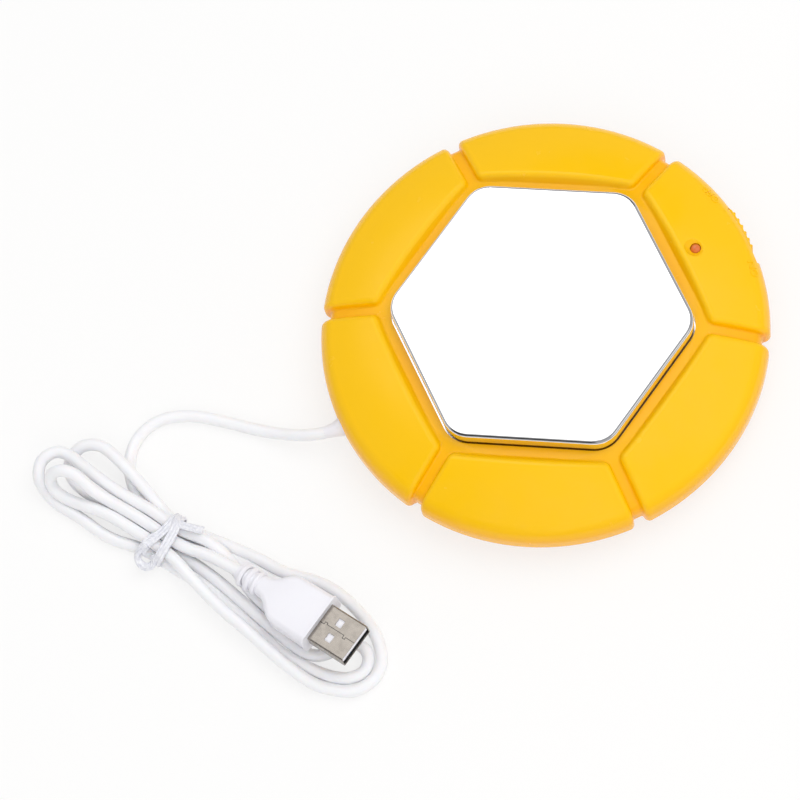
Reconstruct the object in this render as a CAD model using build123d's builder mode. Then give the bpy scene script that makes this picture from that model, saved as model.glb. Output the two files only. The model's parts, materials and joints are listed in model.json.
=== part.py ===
"""Electric mug warmer: a round moulded housing with six domed lobes around a hexagonal
steel heating plate, a slide switch in its rim and a bundled lead with a USB-A plug.

Millimetres, +Z up. The origin is on the floor under the centre of the disc.
The switch is at -Y and the lead leaves at +Y.
"""

import math
import os

from build123d import *

os.makedirs("parts", exist_ok=True)

# ---- housing -----------------------------------------------------------------
disc_radius = 63.2  # widest radius, at the rim's upright band
total_height = 24.0  # floor to the top of the heating plate
belly_height = 10.4  # height of the band's upper edge
band_width = 2.4  # of the upright band round the rim
rim_radius = 6.1  # section radius of the rim above the band
skirt_radius = 3.0  # section radius under the band
crown_radius = 91.0  # section radius of the lobes' tops
crown_slope = 25.0  # degrees, where crown and rim meet
skirt_slope = 45.0  # degrees from upright, of the skirt down to the parting
parting_height = 5.0  # where the upper housing meets the base
wall = 2.0
rim_wall = 4.9  # of the rim beside the hollows under the lobes
fit_gap = 0.3  # between moulded pieces that slide or drop together

# ---- lobes, web and grooves ----------------------------------------------------
ring_width = 25.4  # from the plate's flats to the widest radius
plate_proud = 4.6  # plate top above the web
groove_depth = 2.3
groove_width = 3.2
groove_crease = 8.0  # radius of the soft crease between web and groove floors
web_width = 3.3  # web seen between the plate and the foot of the lobes
lobe_count = 6
lobe_lean = 38.0  # degrees from upright, of a lobe's inner wall
lobe_corner = 2.2
lobe_edge = 1.6  # rounding along the top of a lobe
lobe_foot = 0.6  # rounding where a lobe meets the web
lean_band = (0.3, 0.95)  # rise per length of the edges that count as leaning
parting_band = 0.1  # edges this close to the parting stay sharp
pocket_floor = 7.0  # the hollows under the lobes start at this height

# ---- heating plate and heater ----------------------------------------------------
plate_corner = 8.0
plate_sheet = 0.8
plate_bend = 1.0
flange_width = 2.0
mica = 0.4
ribbon_thickness = 0.4
ribbon_width = 2.4
ribbon_pitch = 7.0
ribbon_margin = 4.0  # bare mica left round the winding
bracket_sheet = 1.2
bracket_arm_width = 9.0
bracket_bend = 1.6
bracket_foot_height = 9.0
bracket_hole = 12.0
bracket_leg_gap = 0.35  # between the plate's flange and the bracket's legs
bracket_toe = 4.0  # of the bracket's feet beyond their screws
wire_hole = 1.2  # radius of the holes for the heater's wires
heater_gap = 0.5  # all round, between the plate's skirt and what lies inside it

# ---- fasteners -----------------------------------------------------------------
screw_shank = 2.6
screw_head = 5.0
screw_head_height = 1.6
screw_chamfer = 0.5  # of the head and of the point
screw_clear = 0.3  # clearance of a screw through the piece it holds
boss_wall = 1.8
housing_screw_margin = 5.2  # of the screws' axes inside the housing's wall
housing_screw_angles = (30, 150, 210, 330)
housing_boss_foot = 6.6
housing_screw_length = 10.0
screw_sink = 2.2  # of the housing screws' seats above the base's underside
boss_rim = 1.2  # round the counterbores in the base
bracket_screw_margin = 5.2
bracket_angles = (0, 120, 240)
bracket_screw_length = 5.0

# ---- base and feet ----------------------------------------------------------------
foot_height = 1.5  # floor to the underside of the base
foot_diameter = 9.0
foot_recess = 0.5
foot_stud = 4.0
foot_margin = 8.0  # of the feet's axes inside the base's rim
foot_angles = (60, 120, 240, 300)
foot_chamfer = 0.5
foot_barb = 0.3
base_step = 0.2  # of the base's rim inside the grooves' skin
base_edge = 2.2
base_draft = 1.4  # the base's wall leans in by this much
lip_height = 1.6
lip_thickness = 1.5
seam_gap = 0.15  # between the base's lip and the housing

# ---- switch -------------------------------------------------------------------------
switch_travel = 4.0
switch_overhang = 0.8  # of the switch beyond the board's outer edge
switch_length = 10.0
switch_depth = 5.0
switch_base_height = 1.2
switch_can_height = 4.6
can_sheet = 0.4
actuator_width = 2.4
actuator_height = 2.0
slider_length = 4.4
knob_length = 14.0
knob_height = 6.0
knob_edge = 0.6
knob_setback = 0.4  # of the knob's face inside the widest radius
knob_ridges = 6
knob_ridge_pitch = 2.2
knob_ridge_height = 0.5
knob_stem_width = 4.4
knob_stem_height = 3.4
knob_flange_width = 8.0
knob_flange_height = 5.4
knob_flange_thickness = 1.0
knob_recess_depth = 2.6
socket_depth = 2.0
socket_gap = 0.1
bay_depth = 3.0  # of the flat room behind the wall that carries the knob
pin_places = (-3.0, 0.0, 3.0)
pin_diameter = 0.8
pin_showing = 1.0  # of pins and leads under the board

# ---- lamp ---------------------------------------------------------------------------
lamp_radius = 1.5
lamp_setback = 5.1  # of the lamp behind the board's outer edge
lamp_dimple = 2.7
lamp_dimple_depth = 1.4
lamp_dimple_edge = 0.5
lamp_gap = 0.05  # round the lamp in its hole
lamp_proud = 1.0  # of its tip above the dimple's floor
lamp_body = 4.3  # from its flange to its tip
lamp_flange = 0.8
lamp_flange_width = 0.4
lamp_lead = 0.5
lamp_lead_pitch = 2.54

# ---- circuit board --------------------------------------------------------------------
board_length = 26.0
board_width = 12.4
board_margin = 3.8  # of its outer edge inside the housing's wall
board_thickness = 1.6
board_underside = 5.6
board_chamfer = 2.0
board_screw_spacing = 19.6
board_screw_setback = 2.8  # these are behind the board's outer edge
board_screw_length = 4.6
resistor_diameter = 2.2
resistor_length = 6.0
resistor_setback = 8.0
wire_diameter = 1.4
wire_hop = 2.4  # of the wires' last bend above the board
supply_pad = (11.0, 9.4)  # sideways, and behind the edge
heater_pad = (7.0, 10.4)
heater_wire_level = 12.0

# ---- lead -------------------------------------------------------------------------------
cord_diameter = 3.5
cord_height = 8.5  # of the lead where it leaves the housing
gland_width = 6.0
gland_flange = 1.5
gland_rim = 2.0  # of the flange round the neck
gland_neck = 3.0
gland_recess = 4.0  # from the rim to the inner face of the wall that holds the gland
gland_reach = 1.6  # of the gland beyond the rim
gland_end_rim = 0.45  # round the lead, at the gland's end
notch_gap = 0.1
clamp_margin = 5.2  # of the clamp's axis inside the housing's wall
clamp_width = 13.0
clamp_depth = 4.4
clamp_thickness = 3.0
clamp_edge = 0.8
clamp_screw_spacing = 8.8
clamp_screw_head = 4.2
clamp_screw_length = 6.5
tail_reach = 7.0  # of the jacket past the clamp's axis, to where it is stripped

cord_route = [
    (0.0, 64.8, cord_height),
    (1.0, 69.6, 7.6),
    (3.9, 74.4, 5.6),
    (7.8, 79.3, 3.2),
    (12.4, 84.8, 1.8),
    (18.6, 91.7, 1.8),
    (24.6, 99.2, 1.8),
    (28.2, 108.4, 1.8),
    (25.4, 117.4, 1.8),
    (17.8, 122.7, 1.8),
]

plug_lead_route = [
    (-12.0, 117.5, 5.2),
    (-17.5, 111.2, 6.0),
    (-26.3, 106.0, 7.8),
]

# ---- bundled turns and tie ------------------------------------------------------------------
hank_layer = 3.6  # one layer of turns
hank_stack = 7.0  # two layers
hank_rounding = 1.5
tie_centre = (-8.5, 119.5)
tie_heading = 209.6  # degrees from +X, of the bundle through the tie
tie_half_width = 7.2
tie_width = 4.2
tie_sheet = 0.3
tie_corner = 2.4
tie_tail_centre = (-5.5, 122.5)
tie_tail_heading = 60.0
tie_tail_length = 16.0
tie_tail_width = 3.4
left_fan = [(*tie_centre, tie_half_width), (10.1, 131.2, 9.7), (26.0, 140.8, 8.5), (24.3, 130.6, 6.2)]
right_fan = [(*tie_centre, tie_half_width), (-52.7, 92.1, 14.4), (-61.1, 88.7, 11.0)]
nose_rest = [(-55.0, 92.0, 4.5), (-62.0, 89.0, 4.5)]
nose_height = 6.2  # of the turns that cross under the plug's nose

# ---- plug ---------------------------------------------------------------------------------------
plug_heading = -150.0  # degrees from +X
plug_pitch = 6.0  # degrees, nose up
relief_length = 9.0
relief_start_radius = 2.4
relief_radius = 2.9
relief_grooves = 3
relief_pitch = 2.2
relief_groove = 0.9
relief_groove_depth = 0.5
relief_overlap = 1.0  # of the relief into the grip's shoulders
shoulder_flare = 0.05  # slope of the grip's sides where the shoulders end
shoulder_rise = 0.1  # slope of its faces where they begin
grip_length = 20.0
grip_width = 15.8
grip_height = 7.8
grip_taper = 0.2
grip_edge = 1.6
grip_lip = 0.6
shoulder_place = 18.0  # end of the grip's swept shoulders, from the lead's entry
shell_width = 12.0
shell_height = 4.5
shell_sheet = 0.3
shell_corner = 0.6
shell_showing = 12.0
shell_hidden = 5.0
shell_window = (2.4, 2.0)  # across and along
shell_window_place = 5.2  # from the grip
shell_window_spread = 2.5  # from the middle
tongue_thickness = 1.84
tongue_setback = 0.5
contact_width = 1.0
contact_length = 8.0
contact_thickness = 0.2
contact_setback = 1.5
contact_places = (-3.5, -1.0, 1.0, 3.5)

# ---- what follows from those sizes ------------------------------------------------------------
web_height = total_height - plate_proud
plate_half = disc_radius - ring_width
flange_half = plate_half + flange_width
flange_corner = plate_corner + flange_width
flange_reach = flange_corner + (flange_half - flange_corner) / math.cos(math.radians(30))
lobe_foot_half = plate_half + web_width
lobe_wall_step = wall / math.cos(math.radians(lobe_lean))
flange_top = web_height - wall
flange_bottom = flange_top - plate_sheet
plate_inside = total_height - plate_sheet
heater_half = plate_half - plate_sheet - heater_gap
heater_corner = plate_corner - plate_sheet - heater_gap
ribbon_bottom = plate_inside - mica - ribbon_thickness
bracket_top = flange_bottom
bracket_bottom = bracket_top - bracket_sheet
bracket_seat = bracket_foot_height + bracket_sheet
leg_radius = flange_reach + bracket_leg_gap
boss_radius = screw_shank / 2 + boss_wall
base_floor = foot_height + wall
base_screw_seat = foot_height + screw_sink
base_boss_radius = screw_head / 2 + screw_clear + boss_rim
board_top = board_underside + board_thickness
wire_lie = base_floor + wire_diameter
can_bottom = board_top + switch_base_height
switch_wall = disc_radius - knob_recess_depth
knob_rest = switch_travel / 2
knob_face = disc_radius - knob_setback
knob_back = switch_wall + fit_gap
knob_flange_front = switch_wall - wall - fit_gap
knob_flange_back = knob_flange_front - knob_flange_thickness
slider_tip = knob_flange_back + socket_depth - socket_gap
bay_top = belly_height + knob_flange_height / 2 + 2 * fit_gap
gland_wall = disc_radius - gland_recess
gland_top = cord_height + gland_width / 2 + gland_rim
gland_flange_width = gland_width + 2 * gland_rim
gland_end = disc_radius + gland_reach
tie_height = hank_stack + tie_sheet
shoulder_start = relief_length - relief_overlap
grip_end = relief_length + grip_length
contact_level = shell_height / 2 - shell_sheet - tongue_thickness - contact_thickness / 2
rim_centre = disc_radius - rim_radius
band_foot = belly_height - band_width
pocket_radius = disc_radius - rim_wall
slope = math.radians(crown_slope)
crown_centre = rim_centre - (crown_radius - rim_radius) * math.sin(slope)
crown_depth = belly_height - (crown_radius - rim_radius) * math.cos(slope)


def crown_height(radius, inset=0.0):
    """Height of the lobes' skin at a radius, or of a skin that lies inset under it."""
    return crown_depth + math.sqrt((crown_radius - inset) ** 2 - (radius - crown_centre) ** 2)


def polar(radius, angle):
    """Plan point at a radius and an angle in degrees."""
    return (radius * math.cos(math.radians(angle)), radius * math.sin(math.radians(angle)))


def skirt_point(inset, angle):
    """Point of the rim's rounding under the band, inset from its skin, at an angle below level."""
    x, y = polar(skirt_radius - inset, -angle)
    return (disc_radius - skirt_radius + x, band_foot + y)


def parting_radius(inset):
    """Radius of the skirt at the parting, inset from its skin."""
    x, z = skirt_point(inset, skirt_slope)
    return x - (z - parting_height) * math.tan(math.radians(skirt_slope))


def dome_section(inset, roof, wall_radius=None, crease=0.0):
    """Half section of the dome, inset from its skin, flat under roof, down to the parting.

    With wall_radius the side is upright there, as inside the moulding.
    """
    crown = crown_radius - inset
    rim = rim_radius - inset
    roof_radius = crown_centre + math.sqrt(crown**2 - (roof - crown_depth) ** 2)
    rim_turn = 90 - crown_slope
    meet, belly, widest = [
        (rim_centre + x, belly_height + z) for x, z in (polar(rim, rim_turn * k) for k in (1, 0.5, 0))
    ]
    with BuildSketch() as section:
        with BuildLine():
            if wall_radius is None:
                halfway = (roof_radius + meet[0]) / 2
                ThreePointArc((roof_radius, roof), (halfway, crown_height(halfway, inset)), meet)
                ThreePointArc(meet, belly, widest)
                band_end, under_middle, under = [skirt_point(inset, skirt_slope * k) for k in (0, 0.5, 1)]
                Line(widest, band_end)
                ThreePointArc(band_end, under_middle, under)
                Polyline(under, (parting_radius(inset), parting_height), (0, parting_height))
            else:
                side = (wall_radius, crown_height(wall_radius, inset))
                halfway = (roof_radius + wall_radius) / 2
                ThreePointArc((roof_radius, roof), (halfway, crown_height(halfway, inset)), side)
                Polyline(side, (wall_radius, parting_height), (0, parting_height))
            Polyline((0, parting_height), (0, roof), (roof_radius, roof))
        make_face()
        if crease:
            fillet(section.vertices().sort_by_distance((roof_radius, roof))[0], crease)
    return section.sketch


def hexagon(half_flats, corner):
    """Hexagon with corners on +X and -X, rounded."""
    with BuildSketch() as plan:
        RegularPolygon(half_flats, 6, major_radius=False)
        fillet(plan.vertices(), corner)
    return plan.sketch


def sector(side_gap, reach):
    """Plan of one lobe's sector about +X: between two grooves, out past the rim."""
    half_angle = math.radians(180 / lobe_count)
    apex = side_gap / 2 / math.sin(half_angle)
    with BuildSketch() as plan:
        with BuildLine():
            spread = reach * math.tan(half_angle)
            Polyline((apex, 0), (apex + reach, spread), (apex + reach, -spread), close=True)
        make_face()
    return plan.sketch


def inner_side(foot_half, foot_level, top_level):
    """Radial section of what lies inside a lobe's leaning inner wall."""
    lean = math.tan(math.radians(lobe_lean))
    with BuildSketch() as section:
        with BuildLine():
            Polyline(
                (0, 0),
                (foot_half - foot_level * lean, 0),
                (foot_half + (top_level - foot_level) * lean, top_level),
                (0, top_level),
                close=True,
            )
        make_face()
    return section.sketch


def ribbon_reach(x):
    """Half length of the heater's ribbon at a place across the mica."""
    edge = (heater_half / math.cos(math.radians(30)) - abs(x)) * math.tan(math.radians(60))
    return min(heater_half, edge) - ribbon_margin


def radial(angle):
    """Upright plane through the Z axis at an angle, X outwards and Y up."""
    out = (*polar(1, angle), 0)
    return Plane(origin=(0, 0, 0), x_dir=out, z_dir=(out[1], -out[0], 0))


def upright(x, y, z=0.0):
    """Plane for a half section about an upright axis, Y up."""
    return Plane(origin=(x, y, z), x_dir=(1, 0, 0), z_dir=(0, -1, 0))


def inverted(x, y, z):
    """The same with Y down."""
    return Plane(origin=(x, y, z), x_dir=(1, 0, 0), z_dir=(0, 1, 0))


def facing_back(y, z, x=0.0):
    """Plane across the Y axis that looks to +Y, Y up."""
    return Plane(origin=(x, y, z), x_dir=(-1, 0, 0), z_dir=(0, 1, 0))


def gland_plan(half_width):
    """U-shaped section of the gland's neck, round above and square down to the parting."""
    with BuildSketch() as plan:
        Circle(half_width)
        Rectangle(2 * half_width, cord_height - parting_height, align=(Align.CENTER, Align.MAX))
    return plan.sketch


def cap_screw(length, head=screw_head):
    """Half section of a pan-head screw, its head's seat at z = 0 and its shank upwards."""
    with BuildSketch() as section:
        with BuildLine():
            Polyline(
                (0, -screw_head_height),
                (head / 2 - screw_chamfer, -screw_head_height),
                (head / 2, -screw_head_height + screw_chamfer),
                (head / 2, 0),
                (screw_shank / 2, 0),
                (screw_shank / 2, length - screw_chamfer),
                (screw_shank / 2 - screw_chamfer, length),
                (0, length),
                close=True,
            )
        make_face()
    return section.sketch


def save(piece, name):
    """Label a finished piece and write it under its own name."""
    piece.part.label = name
    export_step(piece.part, f"parts/{name}.step")


# ---- places that follow from the forms ---------------------------------------------------------
cavity_radius = parting_radius(groove_depth) - wall
base_radius = parting_radius(groove_depth) - base_step
lip_radius = cavity_radius - seam_gap
foot_circle = base_radius - foot_margin
housing_screw_circle = cavity_radius - housing_screw_margin
bracket_screw_circle = cavity_radius - bracket_screw_margin
clamp_distance = cavity_radius - clamp_margin
clamp_screw_places = [(side * clamp_screw_spacing / 2, clamp_distance) for side in (-1, 1)]
tail_end = clamp_distance - tail_reach
board_front = cavity_radius - board_margin
board_centre = board_front - board_width / 2
board_inner = board_front - board_width
board_screw_distance = board_front - board_screw_setback
board_screw_places = [(side * board_screw_spacing / 2, -board_screw_distance) for side in (-1, 1)]
resistor_distance = board_front - resistor_setback
supply_pad_distance = board_front - supply_pad[1]
heater_pad_distance = board_front - heater_pad[1]
switch_front = board_front + switch_overhang
switch_centre = switch_front - switch_depth / 2
lamp_distance = board_front - lamp_setback
dimple_radius = (lamp_dimple**2 + lamp_dimple_depth**2) / (2 * lamp_dimple_depth)
dimple_floor = crown_height(lamp_distance) - lamp_dimple_depth
lamp_tip = dimple_floor + lamp_proud
lamp_seat = lamp_tip - lamp_body
lamp_lead_places = [(side * lamp_lead_pitch / 2, -lamp_distance) for side in (-1, 1)]
ribbon_columns = 2 * math.floor((heater_half - ribbon_margin) / ribbon_pitch + 0.5)
ribbon_places = [ribbon_pitch * (column - (ribbon_columns - 1) / 2) for column in range(ribbon_columns)]
heater_wire_places = [(x, -ribbon_reach(x)) for x in (ribbon_places[0], ribbon_places[-1])]
bundle = Plane(
    origin=(*tie_centre, 0),
    x_dir=(*polar(1, tie_heading + 90), 0),
    z_dir=(*polar(1, tie_heading), 0),
)
plug_entry = Vector(*plug_lead_route[-1])
plug_across = Vector(*polar(1, plug_heading + 90), 0)
plug_reach, plug_rise = polar(1, plug_pitch)
plug_axis = Vector(*polar(plug_reach, plug_heading), plug_rise)
plug_face = Plane(origin=plug_entry, x_dir=plug_across, z_dir=plug_axis)
plug_plan = Plane(origin=plug_entry, x_dir=plug_axis, z_dir=plug_axis.cross(plug_across))
plug_side = Plane(origin=plug_entry, x_dir=plug_axis, z_dir=plug_across)

# =============================== moulded housing ===============================

with BuildPart() as lobe:
    # one lobe on +X: the dome's skin between two grooves, with its inner wall leaning back
    with BuildSketch(Plane.XZ):
        add(dome_section(0, crown_height(plate_half)))
    revolve(axis=Axis.Z)
    with BuildSketch(Plane.XY):
        add(sector(groove_width, disc_radius + wall))
    extrude(amount=total_height, mode=Mode.INTERSECT)
    with BuildSketch(Plane.XZ):
        add(inner_side(lobe_foot_half, web_height, total_height))
    extrude(amount=disc_radius, both=True, mode=Mode.SUBTRACT)
    straight = lobe.edges().filter_by(GeomType.LINE)
    fillet(straight.filter_by(lambda e: lean_band[0] < abs(e.tangent_at(0.5).Z) < lean_band[1]), lobe_corner)
    curved = lobe.edges().filter_by(GeomType.LINE, reverse=True).filter_by(GeomType.CIRCLE, reverse=True)
    fillet(curved.filter_by(lambda e: e.center().Z > parting_height + parting_band), lobe_edge)

with BuildPart() as deck:
    # web and groove floors
    with BuildSketch(Plane.XZ):
        add(dome_section(groove_depth, web_height, crease=groove_crease))
    revolve(axis=Axis.Z)

with BuildPart() as lobes:
    with PolarLocations(0, lobe_count, start_angle=180 / lobe_count):
        add(lobe.part)

with BuildPart() as core:
    # hollow under one lobe, a wall inside it
    with BuildSketch(Plane.XZ):
        add(dome_section(wall, crown_height(plate_half, wall), pocket_radius))
    revolve(axis=Axis.Z)
    with BuildSketch(Plane.XY.offset(pocket_floor)):
        add(sector(groove_width + 2 * wall, disc_radius))
    extrude(amount=total_height, mode=Mode.INTERSECT)
    with BuildSketch(Plane.XZ):
        add(inner_side(lobe_foot_half + lobe_wall_step, web_height, total_height))
    extrude(amount=disc_radius, both=True, mode=Mode.SUBTRACT)

with BuildPart() as bosses:
    # pillars for the housing screws, and shorter ones for the bracket screws
    with BuildSketch(Plane.XY.offset(housing_boss_foot)):
        with Locations(*[polar(housing_screw_circle, angle) for angle in housing_screw_angles]):
            Circle(boss_radius)
    extrude(amount=total_height)
    with BuildSketch(Plane.XZ):
        add(dome_section(wall / 2, crown_height(plate_half, wall / 2), pocket_radius))
    revolve(axis=Axis.Z, mode=Mode.INTERSECT)

with BuildPart() as short_bosses:
    with BuildSketch(Plane.XY.offset(bracket_seat)):
        with Locations(*[polar(bracket_screw_circle, angle) for angle in bracket_angles]):
            Circle(boss_radius)
    extrude(amount=total_height)
    with BuildSketch(Plane.XZ):
        add(dome_section(groove_depth + wall / 2, web_height - wall / 2, cavity_radius))
    revolve(axis=Axis.Z, mode=Mode.INTERSECT)

with BuildPart() as lamp_collar:
    with BuildSketch(Plane.XY.offset(lamp_seat)):
        with Locations((0, -lamp_distance)):
            Circle(lamp_radius + boss_wall)
    extrude(amount=total_height)
    with BuildSketch(Plane.XZ):
        add(dome_section(wall / 2, crown_height(plate_half, wall / 2), pocket_radius))
    revolve(axis=Axis.Z, mode=Mode.INTERSECT)

with BuildPart() as upper_housing:
    add(deck.part)
    add(lobes.part)
    feet_of_lobes = new_edges(deck.part, lobes.part, combined=upper_housing.part)
    fillet(feet_of_lobes.filter_by(lambda e: e.center().Z > parting_height + parting_band), lobe_foot)

    # inside: under the web and grooves, then up into each lobe
    with BuildSketch(Plane.XZ):
        add(dome_section(groove_depth + wall, web_height - wall, cavity_radius))
    revolve(axis=Axis.Z, mode=Mode.SUBTRACT)
    with PolarLocations(0, lobe_count, start_angle=180 / lobe_count):
        add(core.part, mode=Mode.SUBTRACT)
    add(bosses.part)
    add(short_bosses.part)
    add(lamp_collar.part)

    # window for the heating plate, and the seat of its flange under the web
    with BuildSketch(Plane.XY.offset(parting_height)):
        add(hexagon(plate_half + fit_gap, plate_corner + fit_gap))
    extrude(amount=total_height, mode=Mode.SUBTRACT)
    with BuildSketch(Plane.XY.offset(parting_height)):
        add(hexagon(flange_half + fit_gap, flange_corner + fit_gap))
    extrude(amount=flange_top - parting_height, mode=Mode.SUBTRACT)

    # screw holes up into the bosses
    with BuildSketch(Plane.XY.offset(housing_boss_foot)):
        with Locations(*[polar(housing_screw_circle, angle) for angle in housing_screw_angles]):
            Circle(screw_shank / 2)
    extrude(amount=housing_screw_length - (housing_boss_foot - base_screw_seat), mode=Mode.SUBTRACT)
    with BuildSketch(Plane.XY.offset(bracket_seat)):
        with Locations(*[polar(bracket_screw_circle, angle) for angle in bracket_angles]):
            Circle(screw_shank / 2)
    extrude(amount=bracket_screw_length - bracket_sheet, mode=Mode.SUBTRACT)

    # lamp hole and the dimple round its tip
    with BuildSketch(Plane.XY.offset(lamp_seat)):
        with Locations((0, -lamp_distance)):
            Circle(lamp_radius + lamp_gap)
    extrude(amount=total_height - lamp_seat, mode=Mode.SUBTRACT)
    with Locations((0, -lamp_distance, dimple_floor + dimple_radius)):
        Sphere(dimple_radius, mode=Mode.SUBTRACT)
    dimple_rim = upper_housing.edges().filter_by(
        lambda e: abs(e.center().X) < lamp_dimple
        and abs(e.center().Y + lamp_distance) < lamp_dimple
        and e.center().Z > dimple_floor + lamp_dimple_depth / 2
    )
    fillet(dimple_rim, lamp_dimple_edge)

    # shallow recess for the knob in the rim, and room behind it
    with BuildSketch(facing_back(-switch_wall, belly_height)):
        Rectangle(knob_length + switch_travel + 2 * fit_gap, knob_height + 2 * fit_gap)
    extrude(amount=-disc_radius, mode=Mode.SUBTRACT)
    with BuildSketch(facing_back(-(switch_wall - wall), (pocket_floor + bay_top) / 2)):
        Rectangle(knob_length + switch_travel, bay_top - pocket_floor)
    extrude(amount=bay_depth, mode=Mode.SUBTRACT)
    with BuildSketch(facing_back(-switch_wall, belly_height)):
        Rectangle(knob_stem_width + switch_travel + 2 * fit_gap, knob_stem_height + 2 * fit_gap)
    extrude(amount=2 * wall, mode=Mode.SUBTRACT)

    # room for the gland, and its U-shaped notch down to the parting
    with BuildSketch(facing_back(gland_wall - bay_depth, parting_height)):
        Rectangle(
            gland_flange_width + 2 * fit_gap,
            gland_top + fit_gap - parting_height,
            align=(Align.CENTER, Align.MIN),
        )
    extrude(amount=bay_depth, mode=Mode.SUBTRACT)
    with BuildSketch(facing_back(gland_wall - wall, cord_height)):
        add(gland_plan(gland_width / 2 + notch_gap))
    extrude(amount=disc_radius, mode=Mode.SUBTRACT)
save(upper_housing, "upper_housing")

# =============================== base and feet ===============================

with BuildPart() as base_cover:
    with BuildSketch(Plane.XZ):
        with BuildLine():
            Polyline(
                (0, foot_height),
                (base_radius - base_draft, foot_height),
                (base_radius, parting_height),
                (lip_radius, parting_height),
                (lip_radius, parting_height + lip_height),
                (lip_radius - lip_thickness, parting_height + lip_height),
                (lip_radius - lip_thickness, base_floor),
                (0, base_floor),
                close=True,
            )
        make_face()
    revolve(axis=Axis.Z)
    fillet(base_cover.faces().sort_by(Axis.Z)[0].edges(), base_edge)

    # bosses that carry the housing, posts under the board and the saddle under the lead
    with BuildSketch(Plane.XY.offset(base_floor)):
        with Locations(*[polar(housing_screw_circle, angle) for angle in housing_screw_angles]):
            Circle(base_boss_radius)
    extrude(amount=housing_boss_foot - base_floor)
    with BuildSketch(Plane.XY.offset(base_floor)):
        with Locations(*board_screw_places):
            Circle(boss_radius)
    extrude(amount=board_underside - base_floor)
    with BuildSketch(Plane.XY.offset(base_floor)):
        with Locations((0, clamp_distance)):
            Rectangle(clamp_width, clamp_depth)
    extrude(amount=cord_height - base_floor)
    with BuildSketch(facing_back(clamp_distance - clamp_depth, cord_height)):
        Circle(cord_diameter / 2)
    extrude(amount=2 * clamp_depth, mode=Mode.SUBTRACT)

    # holes: housing screws from below, board and clamp screws from above, studs of the feet
    with Locations(*[(*polar(housing_screw_circle, angle), foot_height) for angle in housing_screw_angles]):
        Cylinder(
            screw_head / 2 + screw_clear,
            base_screw_seat - foot_height,
            align=(Align.CENTER, Align.CENTER, Align.MIN),
            mode=Mode.SUBTRACT,
        )
        Cylinder(
            (screw_shank + screw_clear) / 2,
            housing_boss_foot - foot_height,
            align=(Align.CENTER, Align.CENTER, Align.MIN),
            mode=Mode.SUBTRACT,
        )
    with Locations(*[(x, y, board_underside) for x, y in board_screw_places]):
        Cylinder(
            screw_shank / 2,
            board_screw_length - board_thickness,
            align=(Align.CENTER, Align.CENTER, Align.MAX),
            mode=Mode.SUBTRACT,
        )
    with Locations(*[(x, y, cord_height) for x, y in clamp_screw_places]):
        Cylinder(
            screw_shank / 2,
            clamp_screw_length - clamp_thickness,
            align=(Align.CENTER, Align.CENTER, Align.MAX),
            mode=Mode.SUBTRACT,
        )
    with Locations(*[(*polar(foot_circle, angle), foot_height) for angle in foot_angles]):
        Cylinder(
            foot_diameter / 2 + screw_clear / 2,
            foot_recess,
            align=(Align.CENTER, Align.CENTER, Align.MIN),
            mode=Mode.SUBTRACT,
        )
        Cylinder(
            foot_stud / 2,
            wall,
            align=(Align.CENTER, Align.CENTER, Align.MIN),
            mode=Mode.SUBTRACT,
        )
save(base_cover, "base_cover")

for number, angle in enumerate(foot_angles, start=1):
    with BuildPart() as rubber_foot:
        with BuildSketch(upright(*polar(foot_circle, angle))):
            with BuildLine():
                Polyline(
                    (0, 0),
                    (foot_diameter / 2 - foot_chamfer, 0),
                    (foot_diameter / 2, foot_chamfer),
                    (foot_diameter / 2, foot_height + foot_recess),
                    (foot_stud / 2, foot_height + foot_recess),
                    (foot_stud / 2, base_floor),
                    (foot_stud / 2 + foot_barb, base_floor),
                    (foot_stud / 2 - foot_barb, base_floor + 2 * foot_barb),
                    (0, base_floor + 2 * foot_barb),
                    close=True,
                )
            make_face()
        revolve(axis=Axis((*polar(foot_circle, angle), 0), (0, 0, 1)))
    save(rubber_foot, f"rubber_foot_{number}")

with BuildPart() as housing_screws:
    for angle in housing_screw_angles:
        place = (*polar(housing_screw_circle, angle), base_screw_seat)
        with BuildSketch(upright(*place)):
            add(cap_screw(housing_screw_length))
        revolve(axis=Axis(place, (0, 0, 1)))
save(housing_screws, "housing_screws")

# =============================== heating plate and heater ===============================

with BuildPart() as heating_plate:
    # drawn steel cap with a flange that is held up against the web
    with BuildSketch(Plane.XY.offset(flange_bottom)):
        add(hexagon(plate_half, plate_corner))
    extrude(amount=total_height - flange_bottom)
    fillet(heating_plate.faces().sort_by(Axis.Z)[-1].edges(), plate_bend)
    with BuildSketch(Plane.XY.offset(flange_bottom)):
        add(hexagon(flange_half, flange_corner))
    extrude(amount=plate_sheet)
    with BuildSketch(Plane.XY.offset(flange_bottom)):
        add(hexagon(plate_half - plate_sheet, plate_corner - plate_sheet))
    extrude(amount=plate_inside - flange_bottom, mode=Mode.SUBTRACT)
save(heating_plate, "heating_plate")

with BuildPart() as upper_mica:
    with BuildSketch(Plane.XY.offset(plate_inside - mica)):
        add(hexagon(heater_half, heater_corner))
    extrude(amount=mica)
save(upper_mica, "upper_mica")

with BuildPart() as heating_element:
    # flat ribbon folded to and fro, both ends at -Y
    with BuildSketch(Plane.XY.offset(ribbon_bottom)):
        for x in ribbon_places:
            with Locations((x, 0)):
                Rectangle(ribbon_width, 2 * ribbon_reach(x) + ribbon_width)
        for column, (x, beside) in enumerate(zip(ribbon_places, ribbon_places[1:])):
            side = 1 if column % 2 == 0 else -1
            turn = min(ribbon_reach(x), ribbon_reach(beside))
            with Locations(((x + beside) / 2, side * turn)):
                Rectangle(ribbon_pitch + ribbon_width, ribbon_width)
    extrude(amount=ribbon_thickness)
save(heating_element, "heating_element")

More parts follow.
